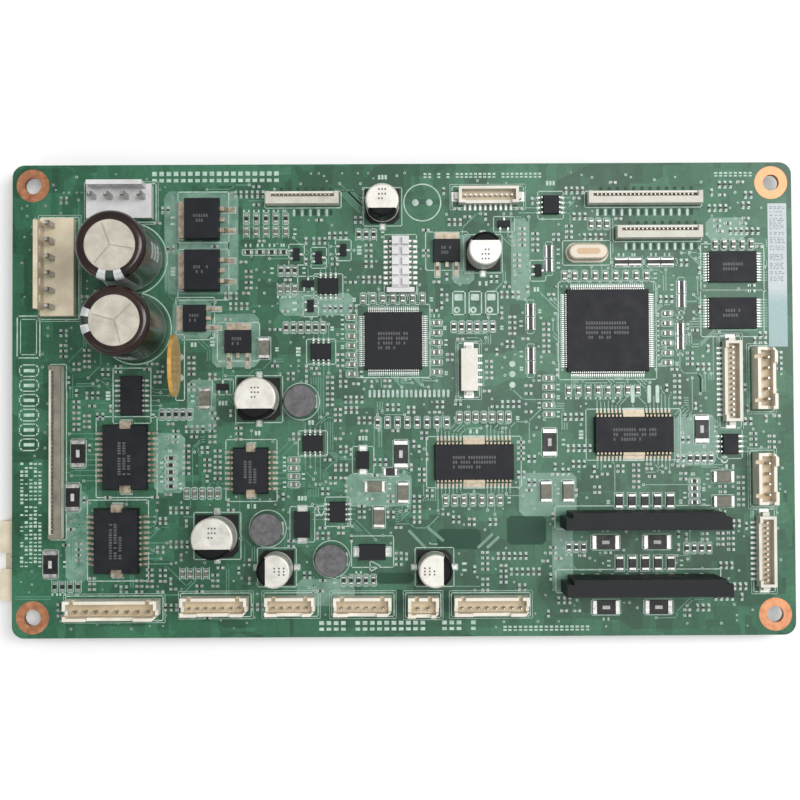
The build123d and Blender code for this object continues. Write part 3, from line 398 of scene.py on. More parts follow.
def board_finish():
    """Green solder mask over straight-edged copper areas, which show lighter through it."""
    material, tree, shader, place = nodes_of("solder_mask_green")
    wide = cells(tree, place, 110.0, (0.6, 1.3, 0.01))
    tall = cells(tree, place, 230.0, (1.4, 0.6, 0.01))
    both = mix(tree, 0.45, wide, tall)
    colour = ramp(tree, both, [
        (0.2, (0.010, 0.072, 0.033)), (0.5, (0.019, 0.116, 0.056)), (0.85, (0.036, 0.162, 0.084)),
    ])
    weave = noise(tree, place, 1100.0, 2.0, 0.7)
    tone = ramp(tree, weave, [(0.3, (0.72, 0.76, 0.74)), (0.7, (1.0, 1.0, 1.0))])
    tree.links.new(mix(tree, 1.0, colour, tone, "MULTIPLY"), shader.inputs["Base Color"])
    slow = noise(tree, place, 30.0, 3.0, 0.5)
    tree.links.new(spread(tree, slow, 0.36, 0.48), shader.inputs["Roughness"])
    bump(tree, shader, weave, 0.12, 0.00001)
    shader.inputs["Coat Weight"].default_value = 0.1
    shader.inputs["Coat Roughness"].default_value = 0.3
    shader.inputs["IOR"].default_value = 1.38
    return material


def shroud_finish_with_painted_shade(name, dark, light, rim):
    """Nylon, pale outside. Level faces in its lower half, down inside, are darker tan: painted
    shade in the recess.
    """
    material = finish(name, dark, light, 0.42, 5.0, 0.3, depth=0.00002)
    tree = material.node_tree
    shader = tree.nodes["Principled BSDF"]
    place = tree.nodes["Texture Coordinate"]
    level = tree.nodes.new("ShaderNodeSeparateXYZ")
    tree.links.new(place.outputs["Normal"], level.inputs[0])
    height = tree.nodes.new("ShaderNodeSeparateXYZ")
    tree.links.new(place.outputs["Object"], height.inputs[0])
    flat = spread(tree, level.outputs["Z"], 0.0, 1.0, 0.6, 0.9)
    middle = TOP + (rim - TOP) * 0.5
    below = spread(tree, height.outputs["Z"], 1.0, 0.0, middle * MM, (middle + 0.2) * MM)
    both = tree.nodes.new("ShaderNodeMath")
    both.operation = "MULTIPLY"
    tree.links.new(flat, both.inputs[0])
    tree.links.new(below, both.inputs[1])
    outside = shader.inputs["Base Color"].links[0].from_socket
    # Painted shade: the floor deep inside the shroud is darkened and warmed as if the walls keep
    # light off it
    recess_painted_shade = mix(tree, 1.0, outside, (0.88, 0.76, 0.60), "MULTIPLY")
    tree.links.new(mix(tree, both.outputs[0], outside, recess_painted_shade), shader.inputs["Base Color"])
    return material


def label_finish():
    """Paper label: white on its far part, pale blue-green nearer."""
    material, tree, shader, place = nodes_of("label_paper_two_tone")
    low, high = (Vector(v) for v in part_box("identification_label"))
    split = tree.nodes.new("ShaderNodeSeparateXYZ")
    tree.links.new(place, split.inputs[0])
    along = spread(tree, split.outputs["Y"], 0.0, 1.0, low.y, high.y)
    tint = ramp(tree, along, [(0.30, (0.33, 0.46, 0.46)), (0.42, (0.52, 0.58, 0.60))])
    fibre = noise(tree, place, 1500.0, 3.0, 0.7)
    tone = ramp(tree, fibre, [(0.3, (0.82, 0.82, 0.82)), (0.6, (1.0, 1.0, 1.0))])
    tree.links.new(mix(tree, 1.0, tint, tone, "MULTIPLY"), shader.inputs["Base Color"])
    tree.links.new(spread(tree, fibre, 0.45, 0.65), shader.inputs["Roughness"])
    bump(tree, shader, fibre, 0.2, 0.00002)
    return material


MATERIALS = {
    "board_laminate": board_finish(),
    "ring_copper": finish("copper_ring", (0.36, 0.150, 0.075), (0.54, 0.255, 0.135), 0.42, 1.5,
                          0.25, metallic=0.85),
    "label_paper": label_finish(),
    "can_aluminium": finish("aluminium_can", (0.60, 0.60, 0.59), (0.84, 0.83, 0.81), 0.30, 4.0, 0.3,
                            metallic=0.8),
    # Dark brown, glossy, with a few lengthwise wrinkles
    "sleeve_brown": finish("sleeve_dark_brown", (0.010, 0.004, 0.003), (0.026, 0.010, 0.007), 0.24,
                           6.0, 0.8, coat=0.25, ior=1.4, strength=0.3, depth=0.00006,
                           stretch=(1.0, 1.0, 0.15)),
    "seal_rubber": finish("seal_black", (0.008, 0.008, 0.008), (0.018, 0.017, 0.016), 0.7, 2.0,
                          0.3),
    "tinned_metal": finish("tin_plating", (0.29, 0.29, 0.275), (0.58, 0.58, 0.55), 0.38, 1.2, 0.2,
                           metallic=0.9),
    "black_plastic": finish("base_black", (0.004, 0.004, 0.005), (0.010, 0.010, 0.011), 0.45, 2.5,
                            0.25, ior=1.28),
    "cream_plastic": finish("nylon_cream", (0.59, 0.51, 0.36), (0.76, 0.67, 0.50), 0.42, 5.0, 0.3,
                            depth=0.00002),
    "white_plastic": finish("nylon_white", (0.58, 0.58, 0.58), (0.72, 0.72, 0.72), 0.38, 5.0, 0.3,
                            depth=0.00002),
    "ivory_plastic": finish("nylon_ivory", (0.72, 0.68, 0.58), (0.88, 0.85, 0.77), 0.40, 4.0, 0.3,
                            depth=0.00002),
    "tan_plastic": finish("slider_ivory", (0.46, 0.44, 0.37), (0.62, 0.60, 0.53), 0.40, 4.0, 0.3,
                          depth=0.00002),
    "module_epoxy": finish("module_epoxy_dark", (0.006, 0.008, 0.009), (0.014, 0.017, 0.019), 0.55,
                           6.0, 0.4, ior=1.3),
    "chip_epoxy": finish("chip_epoxy_dark", (0.006, 0.007, 0.010), (0.015, 0.016, 0.021), 0.50,
                         3.5, 0.18, ior=1.28, strength=0.35),
    "ferrite": finish("ferrite_grey", (0.085, 0.082, 0.086), (0.165, 0.160, 0.166), 0.50, 1.6, 0.2,
                      ior=1.35),
    "resistor_film": finish("resistor_black", (0.006, 0.006, 0.007), (0.016, 0.016, 0.018), 0.40,
                            1.5, 0.2, ior=1.35),
    "capacitor_ceramic": finish("ceramic_olive", (0.085, 0.085, 0.060), (0.190, 0.180, 0.135),
                                0.50, 1.2, 0.2),
    "fuse_coating": finish("fuse_ochre", (0.52, 0.25, 0.035), (0.78, 0.42, 0.09), 0.35, 2.0, 0.5,
                           coat=0.4, strength=0.5, depth=0.00012),
    "crystal_steel": finish("crystal_can", (0.42, 0.37, 0.28), (0.56, 0.51, 0.41), 0.40, 2.5, 0.2,
                            metallic=0.2),
}
CREAM_TOP = finish("can_lid_cream", (0.44, 0.41, 0.34), (0.60, 0.56, 0.47), 0.40, 3.0, 0.3,
                   metallic=0.1)
CAN_TOP = finish("can_top_pale", (0.52, 0.50, 0.45), (0.70, 0.68, 0.62), 0.38, 3.0, 0.3,
                 metallic=0.3)
WARM_TIN = finish("tin_plating_warm", (0.20, 0.17, 0.125), (0.46, 0.39, 0.29), 0.42, 1.2, 0.2,
                  metallic=0.6)
CRYSTAL_FIELD = finish("crystal_pressed_field", (0.27, 0.18, 0.10), (0.42, 0.30, 0.18), 0.38, 1.2,
                       0.2, metallic=0.3)
# Dark green: bare laminate where copper is left out, and also painted shadow of the socket contact
# tails
BARE_AND_SHADOW = finish("bare_laminate", (0.006, 0.045, 0.024), (0.014, 0.075, 0.042), 0.50, 1.5, 0.15,
              ior=1.35)
SILK = finish("silk_ink", (0.30, 0.44, 0.36), (0.54, 0.68, 0.60), 0.55, 1.2, 0.15)
PAD = finish("pad_tin", (0.18, 0.25, 0.22), (0.44, 0.53, 0.49), 0.46, 1.6, 0.12, metallic=0.4)
END_TIN = finish("small_end_tin", (0.22, 0.25, 0.24), (0.52, 0.56, 0.54), 0.48, 3.0, 0.2,
                 metallic=0.4)
SOLDER = finish("solder_joint", (0.42, 0.44, 0.44), (0.74, 0.76, 0.75), 0.30, 0.5, 0.15,
                metallic=0.8)
TRACE = finish("masked_copper", (0.045, 0.180, 0.110), (0.095, 0.270, 0.180), 0.36, 6.0, 0.3,
               coat=0.2)
HOLE_SHADE = finish("via_hole_painted_shade", (0.004, 0.010, 0.007), (0.012, 0.025, 0.018), 0.6, 0.5, 0.1)
PRINT_GREY = finish("print_grey", (0.045, 0.047, 0.050), (0.110, 0.112, 0.118), 0.55, 1.0, 0.12)
LABEL_GREY = finish("label_print", (0.22, 0.24, 0.26), (0.36, 0.38, 0.40), 0.60, 1.0, 0.12)
PRINT_PALE = finish("print_pale", (0.42, 0.42, 0.41), (0.62, 0.62, 0.60), 0.55, 1.0, 0.12)
PRINT_BLACK = finish("print_black", (0.003, 0.003, 0.004), (0.008, 0.008, 0.010), 0.50, 1.5, 0.2,
                     ior=1.22)
STRIPE = finish("sleeve_stripe", (0.46, 0.49, 0.49), (0.68, 0.71, 0.70), 0.35, 3.0, 0.4, coat=0.2)
MINUS = finish("sleeve_minus", (0.006, 0.022, 0.012), (0.014, 0.045, 0.024), 0.40, 1.0, 0.3)
POUR = finish("pale_copper", (0.070, 0.190, 0.125), (0.180, 0.330, 0.250), 0.42, 3.0, 0.3)
SOCKET_DARK = finish("slider_dark_tan", (0.13, 0.12, 0.09), (0.26, 0.24, 0.18), 0.40, 4.0, 0.3)

for name, node in NODES.items():
    slot_name = node.data.materials[0].name.split(".")[0]
    node.material_slots[0].material = MATERIALS[slot_name]
for name in ("bulk_capacitor_1_can", "bulk_capacitor_2_can"):
    NODES[name].material_slots[0].material = CREAM_TOP
NODES["smd_capacitor_cans"].material_slots[0].material = CAN_TOP
for name in ("driver_chip_leads", "power_transistor_tabs"):
    NODES[name].material_slots[0].material = WARM_TIN
NODES["ribbon_socket_4_slider"].material_slots[0].material = SOCKET_DARK
SOCKETS = [n for n in NODES if n.startswith("ribbon_socket") and n.endswith("housing")]
SHROUDS = {
    "cream": ((0.70, 0.65, 0.54), (0.86, 0.81, 0.70)),
    "ivory": ((0.60, 0.57, 0.49), (0.76, 0.73, 0.65)),
}
for name, node in NODES.items():
    if name.startswith(("driver_header_", "signal_header_")) and name.endswith("way"):
        nylon = "cream"
    elif name == "fine_pitch_header_housings" or name in SOCKETS:
        nylon = "ivory"
    else:
        continue
    rim = BOXES[name][0][5]
    node.material_slots[0].material = shroud_finish_with_painted_shade(name + "_nylon_painted_recess_shade", *SHROUDS[nylon], rim)

# ---------------------------------------------------------------- pads and solder

pads, fillets, silk, blocks, bare_and_shadow_gaps, field, pours = (patch() for _ in range(7))

CHIP_BODIES = BOXES["chip_resistor_bodies"] + BOXES["chip_capacitor_bodies"]
LEADED = (
    BOXES["small_chip_bodies"] + BOXES["stepper_driver_bodies"] + BOXES["motor_driver_bodies"]
    + BOXES["main_processor_body"] + BOXES["motion_controller_body"] + BOXES["memory_chip_bodies"]
)
POWER = BOXES["power_transistor_bodies"] + BOXES["diode_bodies"]


def pad_under(box, direction, length, beyond, side):
    """A pad under one foot: length back from the foot's outer edge and beyond it by a little."""
    dx, dy = direction
    x0, y0, x1, y1 = box[0], box[1], box[3], box[4]
    if dx:
        tip = x1 if dx > 0 else x0
        x0, x1 = sorted((tip - dx * length, tip + dx * beyond))
        y0, y1 = y0 - side, y1 + side
    else:
        tip = y1 if dy > 0 else y0
        y0, y1 = sorted((tip - dy * length, tip + dy * beyond))
        x0, x1 = x0 - side, x1 + side
    rounded(pads, x0, y0, x1, y1, 0.08, TOP, PAD_TOP)
    mark(GRID, x0, y0, x1, y1)


def outward(box, body):
    """The board direction from a body towards one of its feet."""
    dx = (centre(box)[0] - centre(body)[0]) / (size(body)[0] / 2)
    dy = (centre(box)[1] - centre(body)[1]) / (size(body)[1] / 2)
    if abs(dx) > abs(dy):
        return (math.copysign(1, dx), 0.0)
    return (0.0, math.copysign(1, dy))


for box in BOXES["chip_part_terminals"]:
    body = nearest(CHIP_BODIES, *centre(box))
    bx, by = centre(body)
    x, y = centre(box)
    dx, dy = x - bx, y - by
    way = (math.copysign(1, dx), 0.0) if abs(dx) > abs(dy) else (0.0, math.copysign(1, dy))
    wide = size(box)[1] if way[0] else size(box)[0]
    tip = (box[3] if way[0] > 0 else box[0]) if way[0] else x
    tip_y = (box[4] if way[1] > 0 else box[1]) if way[1] else y
    pad_under(box, way, 0.7, 0.45, 0.08)
    wedge(fillets, tip, tip_y, way, 0.35, wide * 0.9, PAD_TOP, TOP + (box[5] - TOP) * 0.6)


def host(box):
    """The chip body a lead belongs to: the one with the smallest gap to it."""
    x, y = centre(box)

    def gap(body):
        return math.hypot(max(body[0] - x, x - body[3], 0), max(body[1] - y, y - body[4], 0))

    return min(LEADED, key=gap)


for node, foot in (
    ("small_chip_leads", 0.8), ("driver_chip_leads", 1.1),
    ("main_processor_leads", 0.9), ("motion_controller_leads", 0.9),
):
    for box in BOXES[node]:
        pad_under(box, outward(box, host(box)), foot, 0.45, 0.05)

def pad_round(box, margin, corner):
    rounded(pads, *grown(box, margin), corner, TOP, PAD_TOP)
    mark(GRID, box[0], box[1], box[3], box[4], margin)


for box in BOXES["surface_part_terminals"] + BOXES["power_transistor_tabs"]:
    if box[2] < TOP + 0.2:
        pad_round(box, 0.35, 0.2)

for box in BOXES["fine_pitch_header_contacts"]:
    if box[2] > TOP - 0.1:
        pad_round(box, 0.15, 0.1)

THROUGH = [
    box
    for node in ("driver_header_pins", "signal_header_pins", "power_header_pins",
                 "driver_module_pins", "ribbon_socket_contacts", "wire_leads")
    for box in BOXES[node]
]
BENT = 1.5  # a solid longer than this is a bent lead; its hole is at its low x or low y end
for box in THROUGH:
    x, y = centre(box)
    wide, deep = size(box)
    if wide > BENT:
        x = box[0] + 0.15
    if deep > BENT:
        y = box[1] + 0.15
    thick = min(wide, deep)
    reach = min(0.55 + thick * 0.6, 1.3)
    ring(pads, x, y, thick * 0.5, reach, TOP, PAD_TOP)
    cone(fillets, x, y, -0.9, 0.0, thick * 0.45, reach * 0.85)
    take(x, y, reach, reach)

# ---------------------------------------------------------------- board printing


def clear_runs(p, q):
    """The parts of a line that lie on free board."""
    length = math.hypot(q[0] - p[0], q[1] - p[1])
    steps = max(2, int(length / CELL) + 1)
    runs, start, last = [], None, None
    for k in range(steps + 1):
        t = k / steps
        x, y = p[0] + (q[0] - p[0]) * t, p[1] + (q[1] - p[1]) * t
        if is_free(GRID, x, y, x, y):
            start = start or (x, y)
            last = (x, y)
        elif start:
            runs.append((start, last))
            start = None
    if start:
        runs.append((start, last))
    return [r for r in runs if r[0] != r[1]]


def silk_line(p, q, width=0.2):
    for a, b in clear_runs(p, q):
        stroke(silk, a, b, width, TOP, SILK_TOP)


def silk_path(points, width):
    for p, q in zip(points, points[1:]):
        silk_line(p, q, width)


def silk_box(x0, y0, x1, y1, width=0.2):
    silk_path([(x0, y0), (x1, y0), (x1, y1), (x0, y1), (x0, y0)], width)


def silk_circle(x, y, radius, width=0.2):
    ring(silk, x, y, radius - width / 2, radius + width / 2, TOP, SILK_TOP, 60)


TAG_BLOCKS = 3
TAG_STEP = 0.72  # share of a tag's height from block to block, and of that step for a block


def tag(x, y, upright, tall):
    """Neutral blocks where a part's printed reference would stand."""
    step = tall * TAG_STEP
    for k in range(TAG_BLOCKS):
        shift = (k - (TAG_BLOCKS - 1) / 2) * step
        cx, cy = (x, y + shift) if upright else (x + shift, y)
        wide, high = (tall, step * TAG_STEP) if upright else (step * TAG_STEP, tall)
        if room(cx, cy, wide / 2, high / 2, 0.1):
            bar(silk, cx, cy, wide / 2, high / 2, TOP, SILK_TOP)
            take(cx, cy, wide / 2, high / 2)


def tag_by(x0, y0, x1, y1, tall):
    """A reference tag on the first free side of a part."""
    cx, cy = (x0 + x1) / 2, (y0 + y1) / 2
    half = tall * TAG_STEP / 2 * TAG_BLOCKS
    options = [
        (cx, y1 + tall, False), (cx, y0 - tall, False),
        (x1 + tall, cy, True), (x0 - tall, cy, True),
    ]
    random.shuffle(options)
    for x, y, upright in options:
        hx, hy = (tall / 2, half) if upright else (half, tall / 2)
        if room(x, y, hx, hy, 0.1):
            tag(x, y, upright, tall)
            return


HEADERS = [n for n in NODES if "header" in n and ("way" in n or "housings" in n)]

for body in CHIP_BODIES:
    along_x = size(body)[0] > size(body)[1]
    gx, gy = (0.95, 0.32) if along_x else (0.32, 0.95)
    silk_box(body[0] - gx, body[1] - gy, body[3] + gx, body[4] + gy, 0.16)
for body in LEADED + POWER:
    reach = 1.9 if size(body)[0] > 5 else 1.1
    silk_box(*grown(body, reach), 0.22)
for body in BOXES["power_inductor_cores"]:
    silk_circle(*centre(body), size(body)[0] / 2 + 0.6)
for node in HEADERS:
    for body in BOXES[node]:
        silk_box(*grown(body, 0.6), 0.22)
        silk_box(*grown(body, 1.1), 0.12)
for node in SOCKETS:
    for body in BOXES[node]:
        silk_box(*grown(body, 0.5), 0.22)
        if size(body)[0] <= size(body)[1]:
            continue
        # Pads in front of the socket with dark gaps between them, and dark gaps behind it: painted
        # shadows of the contact tails
        for k in range(int(size(body)[0] / 2) - 1):
            x, y = body[0] + 2.6 + 2 * k, body[1] - 1.7
            if room(x, y, 0.3, 0.8):
                rounded(pads, x - 0.3, y - 0.9, x + 0.3, y + 0.9, 0.2, TOP, PAD_TOP)
                rounded(bare_and_shadow_gaps, x + 0.5, y - 0.7, x + 1.4, y + 0.9, 0.3, TOP, GAP_TOP)
                mark(GRID, x - 0.4, y - 0.9, x + 1.4, y + 0.9)
            y = body[4] + 1.1
            if is_free(GRID, x + 0.5, y - 0.4, x + 1.4, y + 0.4):
                rounded(bare_and_shadow_gaps, x + 0.5, y - 0.5, x + 1.4, y + 0.5, 0.3, TOP, GAP_TOP)
                mark(GRID, x + 0.5, y - 0.5, x + 1.4, y + 0.5)
for body in BOXES["smd_capacitor_bases"]:
    silk_box(*grown(body, 0.55), 0.22)
    x, y = centre(body)
    silk_line((x - 0.7, y + size(body)[1] / 2 + 1.4), (x + 0.7, y + size(body)[1] / 2 + 1.4))
for node in ("bulk_capacitor_1_sleeve", "bulk_capacitor_2_sleeve"):
    body = BOXES[node][0]
    silk_circle(*centre(body), size(body)[0] / 2 + 0.7, 0.3)
for body in BOXES["driver_module_bodies"]:
    silk_box(*grown(body, 0.8), 0.25)
for body in BOXES["crystal_can"] + BOXES["debug_header_housing"] + BOXES["resettable_fuse_disc"]:
    silk_box(*grown(body, 0.6), 0.22)

# Neutral stand-ins for printed wording, rows of plain blocks: x, y, blocks, step and height
WORD_SPACE = 0.12  # share of places left empty
PRINT_ROWS = [
    (-60.4, 54.5, 18, 1.75, 2.6), (5.6, 54.6, 26, 1.12, 1.2), (-20.0, -54.8, 22, 1.75, 2.3),
    (24.4, -55.6, 17, 1.25, 1.2), (76.6, 54.6, 8, 1.2, 1.1),
]
for x, y, blocks_in_row, step, tall in PRINT_ROWS:
    for k in range(blocks_in_row):
        if random.random() < WORD_SPACE:
            continue
        cx, half = x + k * step, step * 0.32
        if room(cx, y, step * 0.3, tall / 2):
            slab(silk, cx - half, y - tall / 2, cx + half, y - tall * 0.18, TOP, SILK_TOP)
            slab(silk, cx - half, y + tall * 0.1, cx + half, y + tall / 2, TOP, SILK_TOP)
            take(cx, y, step / 2, tall / 2)


def outline_box(x0, y0, x1, y1, corner, width):
    """A printed outline with cut corners."""
    c = corner
    points = [
        (x0 + c, y0), (x1 - c, y0), (x1, y0 + c), (x1, y1 - c), (x1 - c, y1), (x0 + c, y1),
        (x0, y1 - c), (x0, y0 + c), (x0 + c, y0),
    ]
    silk_path(points, width)


# Left edge: six outlined boxes, a double box above them and a hatched block below
for k in range(6):
    y = -12.0 + k * 3.6
    outline_box(-93.2, y, -88.6, y + 2.8, 0.7, 0.28)
    slab(silk, -92.2, y + 1.0, -89.6, y + 1.8, TOP, SILK_TOP)
    mark(GRID, -93.6, y, -88.8, y + 2.8)
outline_box(-93.8, 10.5, -88.3, 20.7, 0.2, 0.3)
outline_box(-93.0, 11.3, -89.1, 19.9, 0.2, 0.2)
mark(GRID, -93.8, 10.5, -88.3, 20.7)
for row in range(27):
    for k in range(5):
        if random.random() < 0.2:
            continue
        x, y = -93.0 + k * 1.1, -40.2 + row * 0.95
        slab(silk, x, y, x + 0.75, y + random.choice((0.3, 0.45, 0.6)), TOP, SILK_TOP)
mark(GRID, -93.4, -40.6, -87.4, -14.8)

# Three printed rings near the right edge
for x in (70.9, 73.5, 78.0):
    ring(silk, x, -15.0, 0.5, 0.95, TOP, SILK_TOP)
    mark(GRID, x - 1, -16.0, x + 1, -14.0)

# ---------------------------------------------------------------- empty footprints

# A round part left out, two rows of comb pads, three small outlines, a pad row and test points
silk_circle(4.9, 48.0, 4.5, 0.3)
for dx in (-1.7, 1.7):
    rounded(pads, 4.9 + dx - 0.8, 47.2, 4.9 + dx + 0.8, 48.8, 0.5, TOP, PAD_TOP)
mark(GRID, 0.4, 43.5, 9.4, 52.5)
for row in range(2):
    for k in range(18):
        x, y = -8.4 + k * 1.12, 1.4 - row * 3.0
        if is_free(GRID, x, y, x + 0.62, y + 1.9):
            rounded(pads, x, y - 0.95, x + 0.62, y + 0.95, 0.2, TOP, PAD_TOP)
            mark(GRID, x, y - 0.95, x + 0.62, y + 0.95)
for k in range(3):
    x = 12.2 + k * 4.0
    silk_box(x, 20.6, x + 3.0, 26.2, 0.3)
    ring(pads, x + 1.0, 21.7, 0.35, 0.8, TOP, PAD_TOP)
    rounded(pads, x + 0.4, 24.0, x + 2.4, 25.6, 0.2, TOP, PAD_TOP)
    mark(GRID, x, 20.6, x + 3.0, 26.2)
for k in range(8):
    x = 47.4 + k * 2.0
    if is_free(GRID, x, -1.4, x + 1.0, 3.2):
        rounded(pads, x, -1.2, x + 0.9, 3.2, 0.3, TOP, PAD_TOP)
        mark(GRID, x, -1.2, x + 0.9, 3.2)
for y in (3.4, 6.0, 8.5):
    disc(pads, 26.6, y, 0.75, TOP, PAD_TOP, 16)
    mark(GRID, 25.8, y - 0.8, 27.4, y + 0.8)
# Two printed triangles, one that points down and one that points right
for a, b, tip in (
    ((-21.3, -25.8), (-18.7, -25.8), (-20.0, -28.4)), ((-8.2, -41.7), (-8.2, -39.1), (-5.6, -40.4)),
):
    silk_path([a, b, tip, a], 0.28)

# Open areas of bare laminate, darker than the copper round them, and wide tracks beside them
for x0, y0, x1, y1 in (
    (8.0, -36.4, 18.7, -31.5), (25.0, -35.4, 34.5, -28.4), (-6.9, -44.7, 2.4, -42.0),
    (-2.7, -51.7, 0.4, -46.1), (9.2, -51.7, 11.9, -46.1),
):
    rounded(bare_and_shadow_gaps, x0, y0, x1, y1, 0.9, TOP, BARE_TOP)
    mark(GRID, x0, y0, x1, y1)
for p, q in (
    ((1.4, -32.0), (5.1, -35.9)), ((5.8, -31.1), (9.4, -34.2)),
    ((18.2, -35.9), (21.3, -33.0)), ((20.4, -35.9), (22.8, -33.7)),
):
    stroke(pours, p, q, 0.7, TOP, POUR_TOP)
    mark(GRID, min(p[0], q[0]), min(p[1], q[1]), max(p[0], q[0]), max(p[1], q[1]))

# ---------------------------------------------------------------- tiny passives in the free patches

tiny_bodies, tiny_ends, tiny_caps = patch(), patch(), patch()
TINY_PITCH = 1.35
TINY_TRIES = 12000
TINY_PARTS = 640  # placing stops once there are more than this


def tiny_part(x, y, upright, pale):
    """A chip part of 1.0 by 0.5 mm with its two ends and pads."""
    half_l, half_w, tall = 0.5, 0.27, 0.35
    hx, hy = (half_w, half_l) if upright else (half_l, half_w)
    ex, ey = (half_w, 0.14) if upright else (0.14, half_w)
    store = tiny_caps if pale else tiny_bodies
    bar(store, x, y, hx * 0.98, hy * 0.98, PAD_TOP, TOP + tall)
    for side in (-1, 1):
        cx = x + (0 if upright else side * (half_l - 0.1))
        cy = y + (side * (half_l - 0.1) if upright else 0)
        bar(tiny_ends, cx, cy, ex, ey, PAD_TOP, TOP + tall + 0.02)
        px = x + (0 if upright else side * 0.62)
        py = y + (side * 0.62 if upright else 0)
        bar(pads, px, py, 0.34, 0.34, TOP, PAD_TOP)


def tiny_row(x, y, upright, length):
    """A row of tiny parts side by side, cut short where the board isn't free; says how many."""
    for k in range(length):
        cx, cy = (x + k * TINY_PITCH, y) if upright else (x, y + k * TINY_PITCH)
        hx, hy = (0.45, 1.1) if upright else (1.1, 0.45)
        if not room(cx, cy, hx, hy, 0.15):
            return k
        tiny_part(cx, cy, upright, random.random() < 0.45)
        take(cx, cy, hx, hy)
    return length


count = 0
for _ in range(TINY_TRIES):
    x = random.uniform(3 - HALF_X, HALF_X - 3)
    y = random.uniform(3 - HALF_Y, HALF_Y - 3)
    if x < -86 or y > 53 or y < -53:
        continue
    count += tiny_row(on_pitch(x), on_pitch(y), random.random() < 0.5,
                      random.choice((1, 2, 3, 4, 6)))
    if count > TINY_PARTS:
        break

for body in CHIP_BODIES:
    tag_by(body[0] - 1.0, body[1] - 0.5, body[3] + 1.0, body[4] + 0.5, 0.8)
for body in LEADED + POWER + BOXES["smd_capacitor_bases"]:
    tag_by(*grown(body, 2.0), 1.1)

# Copper areas that show pale through the mask
for x0, y0, x1, y1 in (
    (-58.0, 25.8, -40.0, 51.0), (-56.0, 15.0, -46.6, 24.6), (-46.4, 8.0, -35.0, 21.0),
    (-52.5, -7.5, -45.5, 5.0), (-30.0, 20.5, -12.0, 26.0), (-82.0, -44.0, -76.5, -22.0),
    (-60.5, -22.5, -53.0, -8.0), (-14.0, -26.0, 2.0, -18.0), (-26.0, -50.0, -12.0, -43.5),
    (66.0, -16.5, 76.0, -4.0), (12.0, 28.0, 17.5, 40.0), (26.5, 24.0, 31.0, 44.0),
    (28.0, -28.5, 42.0, -18.0), (36.0, -47.0, 41.0, -30.0), (74.0, 38.5, 84.0, 44.0),
):
    rounded(pours, x0, y0, x1, y1, 1.2, TOP, POUR_TOP)

# ---------------------------------------------------------------- traces and vias

traces, via_rings, via_hole_shade_discs = patch(), patch(), patch()
HEADINGS = [(1, 0), (1, 1), (0, 1), (-1, 1), (-1, 0), (-1, -1), (0, -1), (1, -1)]
TRACKS |= GRID
TRACE_WIDTH = 0.24
TRACE_STEP = 0.5
BUNDLES = 150
VIA_TRIES = 9000
VIAS = 380  # placing stops once there are more than this


def via(x, y, radius=0.36):
    disc(via_rings, x, y, radius, TOP, PAD_TOP, 10)
    # A dark disc stands in for the drilled hole: painted shade inside it
    disc(via_hole_shade_discs, x, y, radius * 0.45, PAD_TOP, PAD_TOP + 0.004, 8)
    disc(via_rings, x, y, radius, -0.03, 0.0, 10)
    mark(TRACKS, x - radius, y - radius, x + radius, y + radius, 0.1)
    mark(GRID, x - radius, y - radius, x + radius, y + radius)


def walk(x, y, heading, reach, bends):
    """Follows free board from a point and returns the corner points of the way taken."""
    points, gone, home = [(x, y)], 0.0, heading
    while gone < reach:
        if random.random() < bends:
            heading = (home + random.choice((-1, 0, 1))) % 8
        for turn in (0, 1, -1):
            dx, dy = HEADINGS[(heading + turn) % 8]
            nx, ny = x + dx * TRACE_STEP, y + dy * TRACE_STEP
            if is_free(TRACKS, nx, ny, nx, ny, 0.12):
                heading = (heading + turn) % 8
                break
        else:
            break
        x, y = nx, ny
        gone += TRACE_STEP * math.hypot(dx, dy)
        points.append((x, y))
    for cx, cy in points[1:]:
        mark(TRACKS, cx, cy, cx, cy, 0.2)
    corners = points[:1]
    for a, b, c in zip(points, points[1:], points[2:]):
        cross = (b[0] - a[0]) * (c[1] - b[1]) - (b[1] - a[1]) * (c[0] - b[0])
        if abs(cross) > 1e-6:
            corners.append(b)
    if len(points) > 1:
        corners.append(points[-1])
    return corners


def run_trace(x, y, heading, reach, bends):
    """A trace, with a via at its end where there is room for one."""
    corners = walk(x, y, heading, reach, bends)
    if len(corners) < 2:
        return
    for p, q in zip(corners, corners[1:]):
        stroke(traces, p, q, TRACE_WIDTH, TOP, TRACE_TOP)
    if room(*corners[-1], 0.4, 0.4):
        via(*corners[-1])


for node in (
    "main_processor_leads", "motion_controller_leads", "small_chip_leads", "driver_chip_leads",
):
    for box in BOXES[node]:
        dx, dy = outward(box, host(box))
        x, y = centre(box)
        x = x if not dx else (box[3] if dx > 0 else box[0]) + dx * 0.7
        y = y if not dy else (box[4] if dy > 0 else box[1]) + dy * 0.7
        run_trace(x, y, HEADINGS.index((int(dx), int(dy))), random.uniform(0.8, 7.0), 0.05)
for _ in range(BUNDLES):
    x = random.uniform(6 - HALF_X, HALF_X - 6)
    y = random.uniform(6 - HALF_Y, HALF_Y - 6)
    heading = random.choice((0, 2, 4, 6))
    across = HEADINGS[(heading + 2) % 8]
    reach = random.uniform(5.0, 26.0)
    for k in range(random.choice((2, 3, 4, 6, 8))):
        sx, sy = x + across[0] * k * 0.6, y + across[1] * k * 0.6
        if is_free(TRACKS, sx, sy, sx, sy, 0.12):
            run_trace(sx, sy, heading, reach, 0.02)
made = 0
for _ in range(VIA_TRIES):
    x = on_pitch(random.uniform(2 - HALF_X, HALF_X - 2))
    y = on_pitch(random.uniform(2 - HALF_Y, HALF_Y - 2))
    if is_free(TRACKS, x - 0.4, y - 0.4, x + 0.4, y + 0.4, 0.1):
        via(x, y, random.choice((0.24, 0.28, 0.34)))
        made += 1
    if made > VIAS:
        break

